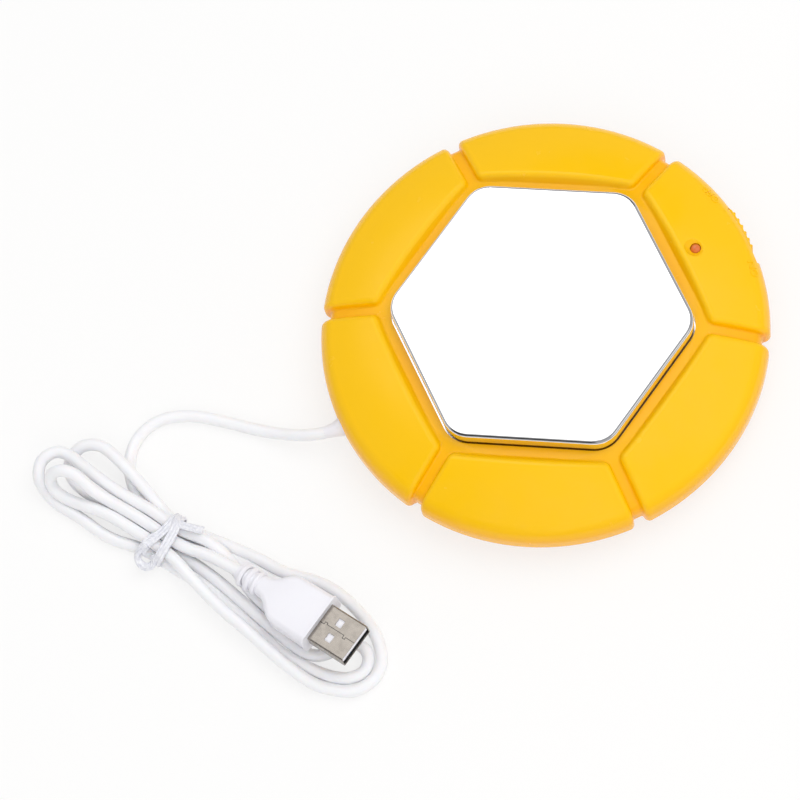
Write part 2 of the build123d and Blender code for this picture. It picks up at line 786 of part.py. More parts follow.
with BuildPart() as lower_mica:
    with BuildSketch(Plane.XY.offset(ribbon_bottom - mica)):
        add(hexagon(heater_half, heater_corner))
        with Locations(*heater_wire_places):
            Circle(wire_hole, mode=Mode.SUBTRACT)
    extrude(amount=mica)
save(lower_mica, "lower_mica")

with BuildPart() as insulation_felt:
    with BuildSketch(Plane.XY.offset(bracket_top)):
        add(hexagon(heater_half, heater_corner))
        with Locations(*heater_wire_places):
            Circle(wire_hole, mode=Mode.SUBTRACT)
    extrude(amount=ribbon_bottom - mica - bracket_top)
save(insulation_felt, "insulation_felt")

with BuildPart() as heater_bracket:
    # pressed tray that lifts felt, heater and plate flange against the housing
    with BuildSketch(Plane.XY.offset(bracket_bottom)):
        add(hexagon(heater_half, heater_corner))
        Circle(bracket_hole / 2, mode=Mode.SUBTRACT)
        with Locations(*heater_wire_places):
            Circle(wire_hole, mode=Mode.SUBTRACT)
    extrude(amount=bracket_sheet)
    for angle in bracket_angles:
        with BuildSketch(radial(angle)) as arm:
            with BuildLine():
                Polyline(
                    (heater_half - bracket_arm_width / 2, bracket_top),
                    (leg_radius + bracket_sheet, bracket_top),
                    (leg_radius + bracket_sheet, bracket_seat),
                    (bracket_screw_circle + bracket_toe, bracket_seat),
                    (bracket_screw_circle + bracket_toe, bracket_foot_height),
                    (leg_radius, bracket_foot_height),
                    (leg_radius, bracket_bottom),
                    (heater_half - bracket_arm_width / 2, bracket_bottom),
                    close=True,
                )
            make_face()
            outer = [(leg_radius + bracket_sheet, bracket_top), (leg_radius, bracket_foot_height)]
            inner = [(leg_radius + bracket_sheet, bracket_seat), (leg_radius, bracket_bottom)]
            for corners, radius in ((outer, bracket_bend), (inner, bracket_bend - bracket_sheet)):
                for corner in corners:
                    fillet(arm.vertices().sort_by_distance(corner)[0], radius)
        extrude(amount=bracket_arm_width / 2, both=True)
    with BuildSketch(Plane.XY.offset(bracket_foot_height)):
        with Locations(*[polar(bracket_screw_circle, angle) for angle in bracket_angles]):
            Circle((screw_shank + screw_clear) / 2)
    extrude(amount=bracket_sheet, mode=Mode.SUBTRACT)
save(heater_bracket, "heater_bracket")

with BuildPart() as bracket_screws:
    for angle in bracket_angles:
        place = (*polar(bracket_screw_circle, angle), bracket_foot_height)
        with BuildSketch(upright(*place)):
            add(cap_screw(bracket_screw_length))
        revolve(axis=Axis(place, (0, 0, 1)))
save(bracket_screws, "bracket_screws")

# =============================== circuit board ===============================

with BuildPart() as circuit_board:
    with BuildSketch(Plane.XY.offset(board_underside)):
        with Locations((0, -board_centre)):
            board = Rectangle(board_length, board_width)
        chamfer(board.vertices().group_by(Axis.Y)[0], board_chamfer)
        with Locations(*board_screw_places):
            Circle((screw_shank + screw_clear) / 2, mode=Mode.SUBTRACT)
        with Locations(*[(x, -switch_centre) for x in pin_places]):
            Circle(pin_diameter / 2, mode=Mode.SUBTRACT)
        with Locations(*lamp_lead_places):
            Rectangle(lamp_lead, lamp_lead, mode=Mode.SUBTRACT)
    extrude(amount=board_thickness)
save(circuit_board, "circuit_board")

with BuildPart() as board_screws:
    for x, y in board_screw_places:
        with BuildSketch(inverted(x, y, board_top)):
            add(cap_screw(board_screw_length))
        revolve(axis=Axis((x, y, board_top), (0, 0, 1)))
save(board_screws, "board_screws")

with BuildPart() as switch_base:
    with BuildSketch(Plane.XY.offset(board_top)):
        with Locations((0, -switch_centre)):
            Rectangle(switch_length, switch_depth)
    extrude(amount=switch_base_height)
    with BuildSketch(Plane.XY.offset(board_underside - pin_showing)):
        with Locations(*[(x, -switch_centre) for x in pin_places]):
            Circle(pin_diameter / 2)
    extrude(amount=board_thickness + pin_showing)
save(switch_base, "switch_base")

with BuildPart() as switch_can:
    with BuildSketch(Plane.XY.offset(can_bottom)):
        with Locations((0, -switch_centre)):
            Rectangle(switch_length, switch_depth)
    extrude(amount=switch_can_height)
    with BuildSketch(Plane.XY.offset(can_bottom)):
        with Locations((0, -switch_centre)):
            Rectangle(switch_length - 2 * can_sheet, switch_depth - 2 * can_sheet)
    extrude(amount=switch_can_height - can_sheet, mode=Mode.SUBTRACT)
    with BuildSketch(facing_back(-switch_front, belly_height)):
        Rectangle(actuator_width + switch_travel + 2 * socket_gap, actuator_height + 2 * socket_gap)
    extrude(amount=2 * can_sheet, mode=Mode.SUBTRACT)
save(switch_can, "switch_can")

with BuildPart() as switch_slider:
    # block inside the can and the finger that reaches into the knob
    with BuildSketch(Plane.XY.offset(can_bottom + socket_gap)):
        with Locations((knob_rest, -switch_centre)):
            Rectangle(slider_length, switch_depth - 2 * can_sheet - 2 * socket_gap)
    extrude(amount=switch_can_height - can_sheet - 2 * socket_gap)
    with BuildSketch(facing_back(-slider_tip, belly_height, knob_rest)):
        Rectangle(actuator_width, actuator_height)
    extrude(amount=slider_tip - switch_centre)
save(switch_slider, "switch_slider")

with BuildPart() as switch_knob:
    # curved grip in the rim, its stem through the wall and the flange that keeps it in
    with BuildSketch(Plane.XY.offset(belly_height - knob_height / 2)):
        with Locations((knob_rest, 0)):
            Circle(knob_face)
        with Locations((knob_rest, -knob_back - knob_face)):
            Rectangle(knob_length, 2 * knob_face, mode=Mode.INTERSECT)
    extrude(amount=knob_height)
    front = switch_knob.edges().filter_by(lambda e: e.center().Y < -knob_back - knob_edge)
    fillet(front, knob_edge)
    with BuildSketch(Plane.XY.offset(belly_height - knob_height / 2 + 2 * knob_edge)):
        for ridge in range(knob_ridges):
            step = ridge - (knob_ridges - 1) / 2
            x, y = polar(knob_face, step * math.degrees(knob_ridge_pitch / knob_face) - 90)
            with Locations((knob_rest + x, y)):
                Circle(knob_ridge_height)
    extrude(amount=knob_height - 4 * knob_edge)
    with BuildSketch(facing_back(-knob_back, belly_height, knob_rest)):
        Rectangle(knob_stem_width, knob_stem_height)
    extrude(amount=knob_back - knob_flange_front)
    with BuildSketch(facing_back(-knob_flange_front, belly_height, knob_rest)):
        Rectangle(knob_flange_width, knob_flange_height)
    extrude(amount=knob_flange_thickness)
    with BuildSketch(facing_back(-knob_flange_back, belly_height, knob_rest)):
        Rectangle(actuator_width + 2 * socket_gap, actuator_height + 2 * socket_gap)
    extrude(amount=-socket_depth, mode=Mode.SUBTRACT)
save(switch_knob, "switch_knob")

with BuildPart() as indicator_lamp:
    with BuildSketch(upright(0, -lamp_distance)):
        with BuildLine():
            Polyline(
                (0, lamp_tip),
                (0, lamp_seat - lamp_flange),
                (lamp_radius + lamp_flange_width, lamp_seat - lamp_flange),
                (lamp_radius + lamp_flange_width, lamp_seat),
                (lamp_radius, lamp_seat),
                (lamp_radius, lamp_tip - lamp_radius),
            )
            CenterArc((0, lamp_tip - lamp_radius), lamp_radius, 0, 90)
        make_face()
    revolve(axis=Axis((0, -lamp_distance, 0), (0, 0, 1)))
save(indicator_lamp, "indicator_lamp")

with BuildPart() as lamp_leads:
    with BuildSketch(Plane.XY.offset(board_underside - pin_showing)):
        with Locations(*lamp_lead_places):
            Rectangle(lamp_lead, lamp_lead)
    extrude(amount=lamp_seat - lamp_flange - board_underside + pin_showing)
save(lamp_leads, "lamp_leads")

with BuildPart() as resistor:
    # body lying on the board, with its leads bent down into it
    with BuildSketch(Plane.YZ.offset(-resistor_length / 2)):
        with Locations((-resistor_distance, board_top + resistor_diameter / 2)):
            Circle(resistor_diameter / 2)
    extrude(amount=resistor_length)
    fillet(resistor.edges().filter_by(GeomType.CIRCLE), resistor_diameter / 4)
    with BuildSketch(Plane.YZ.offset(-resistor_length / 2 - lamp_lead * 2)):
        with Locations((-resistor_distance, board_top + resistor_diameter / 2)):
            Circle(lamp_lead / 2)
    extrude(amount=resistor_length + 4 * lamp_lead)
    for side in (-1, 1):
        with BuildSketch(Plane.XY.offset(board_top)):
            with Locations((side * (resistor_length / 2 + 2 * lamp_lead), -resistor_distance)):
                Circle(lamp_lead / 2)
        extrude(amount=resistor_diameter / 2 + lamp_lead / 2)
save(resistor, "resistor")

# =============================== lead inside the housing ===============================

with BuildPart() as gland_neck_piece:
    # the part of the gland that fills the notch, flush with the skirt
    with BuildSketch(facing_back(gland_wall, cord_height)):
        add(gland_plan(gland_width / 2))
    extrude(amount=disc_radius)
    with BuildSketch(Plane.XZ):
        add(dome_section(notch_gap, crown_height(plate_half, notch_gap)))
    revolve(axis=Axis.Z, mode=Mode.INTERSECT)

with BuildPart() as cord_gland:
    add(gland_neck_piece.part)
    with BuildSketch(facing_back(gland_wall - gland_flange, parting_height)):
        Rectangle(gland_flange_width, gland_top - parting_height, align=(Align.CENTER, Align.MIN))
    extrude(amount=gland_flange)
    with BuildSketch(Plane.YZ):
        with BuildLine():
            Polyline(
                (gland_wall, cord_height),
                (gland_wall, cord_height + gland_width / 2),
                (gland_wall + gland_neck, cord_height + gland_width / 2),
                (gland_end, cord_height + cord_diameter / 2 + gland_end_rim),
                (gland_end, cord_height),
                close=True,
            )
        make_face()
    revolve(axis=Axis((0, 0, cord_height), (0, 1, 0)))
save(cord_gland, "cord_gland")

with BuildPart() as cord_tail:
    with BuildSketch(facing_back(tail_end, cord_height)):
        Circle(cord_diameter / 2)
    extrude(amount=gland_wall - gland_flange - tail_end)
save(cord_tail, "cord_tail")

with BuildPart() as cord_clamp:
    with BuildSketch(facing_back(clamp_distance - clamp_depth / 2, cord_height)):
        with Locations((0, clamp_thickness / 2)):
            Rectangle(clamp_width, clamp_thickness)
        Circle(cord_diameter / 2, mode=Mode.SUBTRACT)
    extrude(amount=clamp_depth)
    fillet(cord_clamp.edges().filter_by(Axis.Y).group_by(Axis.Z)[-1], clamp_edge)
    with Locations(*[(x, y, cord_height) for x, y in clamp_screw_places]):
        Cylinder(
            (screw_shank + screw_clear) / 2,
            clamp_thickness,
            align=(Align.CENTER, Align.CENTER, Align.MIN),
            mode=Mode.SUBTRACT,
        )
save(cord_clamp, "cord_clamp")

with BuildPart() as clamp_screws:
    for x, y in clamp_screw_places:
        seat = cord_height + clamp_thickness
        with BuildSketch(inverted(x, y, seat)):
            add(cap_screw(clamp_screw_length, clamp_screw_head))
        revolve(axis=Axis((x, y, seat), (0, 0, 1)))
save(clamp_screws, "clamp_screws")

for name, side in (("red", 1), ("black", -1)):
    with BuildPart() as supply_wire:
        with BuildLine():
            FilletPolyline(
                (side * cord_diameter / 4, tail_end, cord_height),
                (side * cord_diameter / 4, tail_end - cord_height, cord_height),
                (side * supply_pad[0] / 4, tail_end - 2 * cord_height, wire_lie),
                (side * supply_pad[0], -board_inner + cord_height, wire_lie),
                (side * supply_pad[0], -board_inner + wire_diameter, board_top + wire_hop),
                (side * supply_pad[0], -supply_pad_distance, board_top + wire_hop),
                (side * supply_pad[0], -supply_pad_distance, board_top),
                radius=wire_diameter,
            )
        with BuildSketch(facing_back(tail_end, cord_height, side * cord_diameter / 4)):
            Circle(wire_diameter / 2)
        sweep()
    save(supply_wire, f"supply_wire_{name}")

for name, (x, y) in zip(("left", "right"), heater_wire_places):
    side = math.copysign(1, x)
    with BuildPart() as heater_wire:
        with BuildLine():
            FilletPolyline(
                (x, y, ribbon_bottom),
                (x, y, heater_wire_level),
                (side * heater_pad[0], -heater_pad_distance, heater_wire_level),
                (side * heater_pad[0], -heater_pad_distance, board_top),
                radius=2 * wire_diameter,
            )
        with BuildSketch(Plane.XY.offset(ribbon_bottom)):
            with Locations((x, y)):
                Circle(wire_diameter / 2)
        sweep()
    save(heater_wire, f"heater_wire_{name}")

# =============================== free lead, bundled turns and plug ===============================


def tube(name, route):
    """Cord along a route, with arcs as large as its runs allow."""
    points = [Vector(*point) for point in route]
    radii = []
    for before, here, after in zip(points, points[1:], points[2:]):
        turn = math.radians((here - before).get_angle(after - here))
        run = min((here - before).length, (after - here).length)
        radii.append(0.45 * run / math.tan(turn / 2))
    with BuildLine() as path:
        FilletPolyline(*points, radius=radii)
    line = path.wires()[0]
    start = Plane(origin=points[0], z_dir=(points[1] - points[0]).normalized())
    with BuildPart() as cord_tube:
        with BuildSketch(start):
            Circle(cord_diameter / 2)
        sweep(path=line)
    ideal = math.pi * cord_diameter**2 / 4 * line.length
    print(name, "length", round(line.length, 1), "radii", [round(r, 1) for r in radii])
    print(name, "volume", round(cord_tube.part.volume, 1), "of", round(ideal, 1))
    save(cord_tube, name)


tube("cord", cord_route)
tube("plug_lead", plug_lead_route)

with BuildPart() as twist_tie:
    # wire tie round the waist of the bundle, its twisted ends lying over it
    with BuildSketch(bundle):
        with Locations((0, tie_height / 2)):
            RectangleRounded(2 * tie_half_width + 2 * tie_sheet, tie_height, tie_corner)
            RectangleRounded(
                2 * tie_half_width,
                tie_height - 2 * tie_sheet,
                tie_corner - tie_sheet,
                mode=Mode.SUBTRACT,
            )
    extrude(amount=tie_width / 2, both=True)
    with BuildSketch(Plane.XY.offset(tie_height - tie_sheet)):
        with Locations(Location(tie_tail_centre, (0, 0, tie_tail_heading))):
            RectangleRounded(tie_tail_length, tie_tail_width, tie_tail_width / 3)
    extrude(amount=2 * tie_sheet)
save(twist_tie, "twist_tie")

with BuildPart() as cord_hank:
    # outer shape of the tied turns: two fans with a waist at the tie
    for circles, height in ((left_fan, hank_stack), (right_fan, hank_layer), (nose_rest, nose_height)):
        with BuildSketch(Plane.XY):
            with BuildLine():
                for x, y, radius in circles:
                    CenterArc((x, y), radius, 0, 360)
            make_hull()
        extrude(amount=height)
    fillet(cord_hank.faces().group_by(Axis.Z)[-1].edges(), hank_rounding)
    add(twist_tie.part, mode=Mode.SUBTRACT)
save(cord_hank, "cord_hank")

with BuildPart() as plug_grip:
    # overmoulding: flat grip with swept shoulders, and a ribbed strain relief behind it
    with BuildSketch(plug_plan):
        with BuildLine():
            for side in (1, -1):
                Spline(
                    (shoulder_start, side * relief_radius),
                    (shoulder_place, side * (grip_width / 2 - grip_taper)),
                    tangents=((1, 0), (1, side * shoulder_flare)),
                )
                Line(
                    (shoulder_place, side * (grip_width / 2 - grip_taper)),
                    (grip_end, side * grip_width / 2),
                )
            Line((shoulder_start, relief_radius), (shoulder_start, -relief_radius))
            Line((grip_end, grip_width / 2), (grip_end, -grip_width / 2))
        make_face()
    extrude(amount=grip_height, both=True)
    with BuildSketch(plug_side):
        with BuildLine():
            for side in (1, -1):
                Spline(
                    (shoulder_start, side * relief_radius),
                    (shoulder_place, side * grip_height / 2),
                    tangents=((1, side * shoulder_rise), (1, 0)),
                )
                Line((shoulder_place, side * grip_height / 2), (grip_end, side * grip_height / 2))
            Line((shoulder_start, relief_radius), (shoulder_start, -relief_radius))
            Line((grip_end, grip_height / 2), (grip_end, -grip_height / 2))
        make_face()
    extrude(amount=grip_width, both=True, mode=Mode.INTERSECT)
    lengthwise = plug_grip.edges().filter_by(
        lambda e: abs(e.tangent_at(0.5).dot(plug_axis)) > e.tangent_at(0.5).cross(plug_axis).length
    )
    fillet(lengthwise.filter_by(lambda e: e.length > grip_edge), grip_edge)
    with BuildSketch(plug_face.offset(grip_end - grip_lip)):
        RectangleRounded(grip_width + grip_lip, grip_height + grip_lip, grip_edge + grip_lip / 2)
    extrude(amount=grip_lip)
    with BuildSketch(plug_side):
        with BuildLine():
            flare = (relief_radius - relief_start_radius) / relief_length
            outline = [(0, 0), (0, relief_start_radius)]
            for groove in range(1, relief_grooves + 1):
                near = relief_pitch * groove - relief_groove / 2
                far = relief_pitch * groove + relief_groove / 2
                outline.append((near, relief_start_radius + flare * near))
                outline.append((near, relief_start_radius + flare * near - relief_groove_depth))
                outline.append((far, relief_start_radius + flare * far - relief_groove_depth))
                outline.append((far, relief_start_radius + flare * far))
            outline += [(relief_length, relief_radius), (relief_length, 0)]
            Polyline(*outline, close=True)
        make_face()
    revolve(axis=Axis(plug_entry, plug_axis))
    with BuildSketch(plug_face.offset(grip_end - shell_hidden)):
        RectangleRounded(shell_width, shell_height, shell_corner)
    extrude(amount=shell_hidden, mode=Mode.SUBTRACT)
save(plug_grip, "plug_grip")

with BuildPart() as plug_shell:
    with BuildSketch(plug_face.offset(grip_end - shell_hidden)):
        RectangleRounded(shell_width, shell_height, shell_corner)
        RectangleRounded(
            shell_width - 2 * shell_sheet,
            shell_height - 2 * shell_sheet,
            shell_corner - shell_sheet,
            mode=Mode.SUBTRACT,
        )
    extrude(amount=shell_hidden + shell_showing)
    with BuildSketch(plug_plan):
        with Locations(*[(grip_end + shell_window_place, side * shell_window_spread) for side in (-1, 1)]):
            Rectangle(shell_window[1], shell_window[0])
    extrude(amount=shell_height, both=True, mode=Mode.SUBTRACT)
save(plug_shell, "plug_shell")

with BuildPart() as plug_tongue:
    with BuildSketch(plug_face.offset(grip_end - shell_hidden)):
        with Locations((0, shell_height / 2 - shell_sheet - tongue_thickness / 2)):
            Rectangle(shell_width - 2 * shell_corner, tongue_thickness)
    extrude(amount=shell_hidden + shell_showing - tongue_setback)
save(plug_tongue, "plug_tongue")

with BuildPart() as plug_contacts:
    with BuildSketch(plug_face.offset(grip_end + shell_showing - contact_setback - contact_length)):
        with Locations(*[(x, contact_level) for x in contact_places]):
            Rectangle(contact_width, contact_thickness)
    extrude(amount=contact_length)
save(plug_contacts, "plug_contacts")
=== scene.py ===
"""Electric mug warmer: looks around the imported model.

Metres, Z up. The origin is on the floor under the centre of the disc, the switch is at -Y
and the lead leaves at +Y. Run as a script; the panel lists the same steps one by one.
"""

import json
import math
import random

import bmesh
import bpy
from bpy.props import FloatProperty, FloatVectorProperty, IntProperty
from mathutils import Matrix, Vector


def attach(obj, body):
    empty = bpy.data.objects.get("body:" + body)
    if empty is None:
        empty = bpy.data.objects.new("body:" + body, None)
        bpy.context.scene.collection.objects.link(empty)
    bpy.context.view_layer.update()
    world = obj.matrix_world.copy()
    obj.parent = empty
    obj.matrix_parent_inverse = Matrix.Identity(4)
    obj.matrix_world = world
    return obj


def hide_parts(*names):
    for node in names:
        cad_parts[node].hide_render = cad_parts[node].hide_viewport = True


bl_info = {
    "name": "Electric mug warmer",
    "version": (1, 0, 0),
    "blender": (4, 5, 0),
    "location": "3D View > Sidebar > Mug warmer",
    "description": "Lead, twist tie, plug, marks and finishes of an electric mug warmer",
    "category": "Object",
}

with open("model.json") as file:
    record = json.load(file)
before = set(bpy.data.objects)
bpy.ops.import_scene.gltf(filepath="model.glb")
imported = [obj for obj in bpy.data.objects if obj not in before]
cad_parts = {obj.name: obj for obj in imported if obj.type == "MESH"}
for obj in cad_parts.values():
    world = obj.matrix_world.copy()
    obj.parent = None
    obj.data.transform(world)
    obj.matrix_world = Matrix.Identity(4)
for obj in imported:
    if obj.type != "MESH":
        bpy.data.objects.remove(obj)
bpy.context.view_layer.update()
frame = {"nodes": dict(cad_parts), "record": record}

MM = 0.001
CURVE_STEPS = 10  # of a smooth line between two control points

# The solids that the new pieces fit, in metres.
RIM_CENTRE = 0.0571  # radius of the centre line of the rim's round section
RIM_LEVEL = 0.0104
RIM_RADIUS = 0.0061
PLUG_ENTRY = Vector((-0.0263, 0.1060, 0.0078))
PLUG_HEADING = math.radians(-150.0)
PLUG_PITCH = math.radians(6.0)
GRIP_END = 0.029  # from the plug's entry to the front of its grip
SHELL_LENGTH = 0.012
SHELL_HEIGHT = 0.0045
SHELL_SHEET = 0.0003
TIE_CENTRE = Vector((-0.0085, 0.1195, 0.0))
TIE_HEADING = math.radians(209.6)

# Tapered mouth of the gland round the lead.
GLAND_LIP = 0.00045
GLAND_ROOT = 0.0012  # how far inside the gland it starts
GLAND_END = 0.0685  # how far from the disc's centre it ends
GLAND_TAPER = 1.5
GLAND_CLEAR = 0.00003  # off the lead's skin where it starts
GLAND_SINK = 0.00008  # deeper than that where it ends
GLAND_SIDES = 28
GLAND_POINTS = 5  # of the lead's first points, which it follows

# Plug: along from the grip's front, half width across, up from the shell's middle.
# The socket's black end wall and floor are painted shade: they stand in for the shade inside the socket.
SOCKET_HALF_WIDTH = 0.0056
SOCKET_END = (0.0002, 0.0006)
SOCKET_OPEN = 0.002  # above the end wall
SOCKET_FLOOR = 0.00008  # thickness of its floor
TONGUE_FRONT = ((0.0110, 0.0118), 0.0055, (0.00005, 0.0019))
SEAM_WIDTH = 0.00016
SEAM_LIFT = 0.00001  # off the shell's skin
MITRE_LIMIT = 0.4  # a mitre reaches no further than at a corner of this cosine
SEAM_PATH = [  # along and across, in millimetres
    (0, 0), (1.5, 0), (1.5, 0.75), (2.3, 0.75), (2.3, 0.3), (8.2, 0.3), (8.2, -0.6),
    (9.0, -0.6), (9.0, 0.0), (12.0, 0.0),
]
RIB_PLACES = (0.0018, 0.0042, 0.0066)  # of the relief's ribs, from the plug's entry
RIB_RADIUS = 0.0029
RIB_HALF_WIDTH = 0.0008
RIB_HALF_DEPTH = 0.0007
RIB_FLATTENING = 0.94
RIB_SIDES = (40, 8)  # round the relief, and round the rib's own section

# Cross recesses of the screws, drawn as dark crosses of painted shade.
CROSS_ARM = 0.27  # of the head's diameter
CROSS_HALF_WIDTH = 0.055
CROSS_TAPER = 0.6  # of the half width, at an arm's end
CROSS_TURN = math.pi / 5
CROSS_LIFT = 0.00002  # metres out of the head's face
FACE_TOLERANCE = 0.00001  # points this close in height lie on one face
HEAD_REACH = 0.006  # points this close lie on one head

# Words by the switch and their angles round the rim.
MARKS = (("ON", -100.7), ("OFF", -76.5))
MARK_CLIMB = 52.7  # degrees up the rim's section
MARK_SINK = 0.4  # share of the relief that is under the skin
MARK_EDGE = 0.0004  # longer edges are cut, so that the letters follow the rim
CAPITAL_SHARE = 0.7  # of a capital's height in the font's size

# The tie's strip. Rates are radians for each metre along it.
STRIP_POINTS = 15  # across it
BUNDLE_MIDDLE = 3.7  # height of the turns' middle in millimetres
MIDDLE_SHARE = 0.55  # of a point's distance across, for the middle line that it faces
FULL_TURN = 6.28
SWAY, SWAY_RATE = 0.16, 620  # radians to and fro
PINCH, PINCH_RATE = 0.07, 700  # share of its width
BROAD_PLEATS, BROAD_WANDER, BROAD_RATE = 8.5, 1.1, 430  # radians from its middle to its edge
FINE_PLEATS, FINE_SHARE, FINE_RATE = 15.0, 0.6, 300

# Stage: lamps are (place, size), and the room's walls (height, colour) from the floor up.
SENSOR_WIDTH = 36.0  # millimetres
CLIP_START = 0.05
FLOOR_DROP = 0.00005
FLOOR_GLOW = 0.72  # share of plain white in what is seen of the floor
KEY_LAMP = ((0.1, -0.55, 1.25), 1.4)
SIDE_LAMP = ((-0.75, 0.35, 1.0), 1.2)
ROOM_WALLS = [
    (0.0, (0.05, 0.05, 0.06)), (0.05, (0.1, 0.1, 0.12)),
    (0.2, (0.46, 0.46, 0.47)), (1.0, (0.3, 0.3, 0.31)),
]
# What else reflections show: direction, angles of its soft edge, strength.
WINDOWS = [
    ((-0.35, 0.62, 0.70), 22.0, 29.0, 0.03),  # dark screens
    ((0.62, -0.46, 0.64), 11.0, 17.0, 0.03),
    ((0.50, 0.12, 0.857), 19.0, 27.0, 1.4),  # bright window overhead, and a smaller one
    ((-0.50, -0.58, 0.64), 12.0, 20.0, 0.75),
]

# Where painted shade deepens the housing's yellow, in its web, grooves and low on its rim: radius and
# height are weighed into one measure.
PAINTED_SHADE_RADIUS_SHARE = 0.33
PAINTED_SHADE_SPAN = (0.0325, 0.0354)

# The lead's control points in millimetres, stretch by stretch between the bundle's folds.
LEAD_ROUTE = [
    # out of the rim, down to the floor and round into the tie
    (0, 64.8, 8.5), (1, 69.6, 7.6), (3.9, 74.4, 5.6), (7.8, 79.3, 3.2), (12.4, 84.8, 1.8),
    (18.6, 91.7, 1.8), (24.6, 99.2, 1.8), (28.2, 108.4, 1.8), (25.4, 117.4, 1.8), (17.8, 122.7, 1.8),
    (7.5, 123.5, 2), (-4, 120.5, 2), (-11.5, 115, 2), (-21.5, 104.5, 1.8), (-33.5, 97.5, 2.5),
    # small fold under the plug's grip, and back through the tie on top
    (-36.5, 92.5, 2), (-42, 89.5, 2), (-46.5, 91.5, 2), (-48, 95.5, 2), (-46, 99.5, 2),
    (-39.5, 102, 2), (-37.5, 103, 2), (-31.5, 105.5, 1.8), (-15.5, 108, 6), (-5.5, 117.5, 5),
    (0.5, 120, 5.5), (12, 128, 5.5), (20.5, 132.5, 6),
    # outermost near fold, and back under the bundle
    (30, 137, 7), (30, 143.5, 7), (26, 146.5, 5.5), (22.5, 146.5, 3.5), (17.5, 145, 1.8),
    (11, 140.5, 2), (1, 135.5, 2), (-6, 127.5, 2), (-14.5, 122.5, 2.5), (-24.5, 116, 1.8),
    (-33.5, 112.5, 2), (-44.5, 107.5, 2), (-52.5, 104.5, 1.8),
    # far fold in front of the plug, hooked back under its shell
    (-65, 94.5, 2.5), (-67, 87, 2), (-63, 83, 2), (-58, 84, 2), (-56, 88.5, 2),
    (-57, 92.5, 2), (-56.5, 96, 2), (-54, 99, 2), (-50.5, 101, 2), (-42, 105, 2),
    (-32, 109, 2), (-20.5, 114, 2), (-11, 120, 2), (-2.5, 125, 2), (6.5, 128, 2),
    # near fold that rises and comes back on top
    (17.5, 137, 2), (26, 138.5, 2), (30, 132.5, 4), (27, 126.5, 5.5), (21, 124, 5.5),
    (16.5, 122.5, 5.5), (8, 120, 4.5), (-3.5, 117, 1.8), (-12, 109, 2), (-23, 99.5, 2),
    (-30, 95, 2), (-36.5, 87, 2), (-44.5, 82, 2),
    # farthest fold, and back over the others
    (-57.5, 78.5, 2), (-68, 81, 2), (-71, 90.5, 2), (-66.5, 97, 2), (-63, 101, 3),
    (-54, 106, 4.5), (-41.5, 111, 5), (-33, 115, 5), (-21, 119, 5.5), (-12, 121.5, 5.5),
    (-1.5, 127.5, 5), (8, 133.5, 5.5), (15, 140.5, 4),
    # last near fold, standing on the others, then on top to the plug
    (20, 144, 5), (23, 143.5, 9), (22.5, 140.5, 12.5), (19.5, 136.5, 13), (14, 134, 8.5),
    (10, 131, 6.5), (1.5, 125, 5.5), (-12, 117.5, 5.2), (-17.5, 111.2, 6), (-26.3, 106, 7.8),
]

# The tie's strip in millimetres: along the bundle, across it, and up.
TIE_WRAPS = [
    # round underneath, up and over twice, side by side on top
    (-2.1, 7.4, 4.2), (-1.6, 6.6, 7.0), (-1.3, 5.3, 8.4), (-0.4, 3.2, 8.9), (0.2, 0.3, 8.9),
    (0.5, -2.6, 8.6), (0.6, -5.9, 7.6), (0.2, -8, 5.2), (-0.6, -7.6, 1.6), (-1.6, -4, 0.5),
    (-2.2, 0, 0.45), (-2.4, 6, 0.6), (-2.4, 8, 3.2), (-2.2, 6.8, 6.6), (-2.1, 4.4, 8.3),
    (-2.5, 1.8, 8.4), (-3.3, -1.4, 8.2), (-4.5, -4.2, 7.8), (-5.0, -6.6, 6.6), (-4.9, -8, 5.4),
]
TIE_CURL = [
    # the two ends twisted together and rolled up beside the bundle
    (-4.6, -5.4, 7.6), (-5.6, -7.4, 6.6), (-5.4, -9.3, 5.2), (-3.7, -10.4, 4.2), (-1.7, -10.1, 3.6),
    (-0.6, -8.6, 3.8), (-0.9, -7, 4.6), (-2.2, -6.7, 5.2),
]
TIE_TAIL = [
    # flat end that lies off to one side
    (-1.8, 5.6, 7.4), (-0.6, 4.8, 8.2), (1.3, 4.7, 8.7), (3.5, 5.6, 8.8), (6.6, 6.6, 8.6),
]


# ---- sizes and colours that a user may change ------------


def screen(red, green, blue):
    """Linear colour of an 8-bit screen colour, by the sRGB curve."""
    return tuple(((c / 255 + 0.055) / 1.055) ** 2.4 if c > 10 else c / 3294.6 for c in (red, green, blue))


def colour_property(name, default, description):
    """Colour that a user may change."""
    return FloatVectorProperty(
        name=name, description=description, default=default, subtype="COLOR", size=3, min=0.0, max=1.0
    )


def length_property(name, default, description):
    """Length that a user may change."""
    return FloatProperty(name=name, description=description, default=default, unit="LENGTH")


def power_property(name, default, description):
    """Power of a lamp, which a user may change."""
    return FloatProperty(name=name, description=description, default=default, min=0.0, unit="POWER")


class WarmerStage(bpy.types.PropertyGroup):
    """Camera, floor and lamps."""

    camera_place: FloatVectorProperty(
        name="Camera place",
        description="Where the camera stands",
        default=(-0.408296, 0.105973, 1.060233),
        subtype="TRANSLATION",
        unit="LENGTH",
        precision=5,
    )
    camera_turn: FloatVectorProperty(
        name="Camera turn",
        description="Euler angles of the camera",
        default=(math.radians(20.5935), math.radians(6.0617), math.radians(-114.1877)),
        subtype="EULER",
        unit="ROTATION",
    )
    lens: FloatProperty(
        name="Lens",
        description="Focal length on a 36 mm wide sensor",
        default=181.116,
        min=20,
        unit="CAMERA",
    )
    floor_size: length_property("Floor size", 6.0, "Side of the square floor")
    floor_colour: colour_property("Floor colour", (0.95, 0.94, 0.925), "Colour of the pale floor")
    key_power: power_property("Key power", 8.0, "Power of the large soft lamp")
    side_power: power_property("Side power", 4.0, "Power of the lamp beyond the disc")
    sky_strength: FloatProperty(
        name="Sky strength",
        description="Light from all round on matt surfaces",
        default=0.55,
        min=0.0,
        max=1.0,
    )


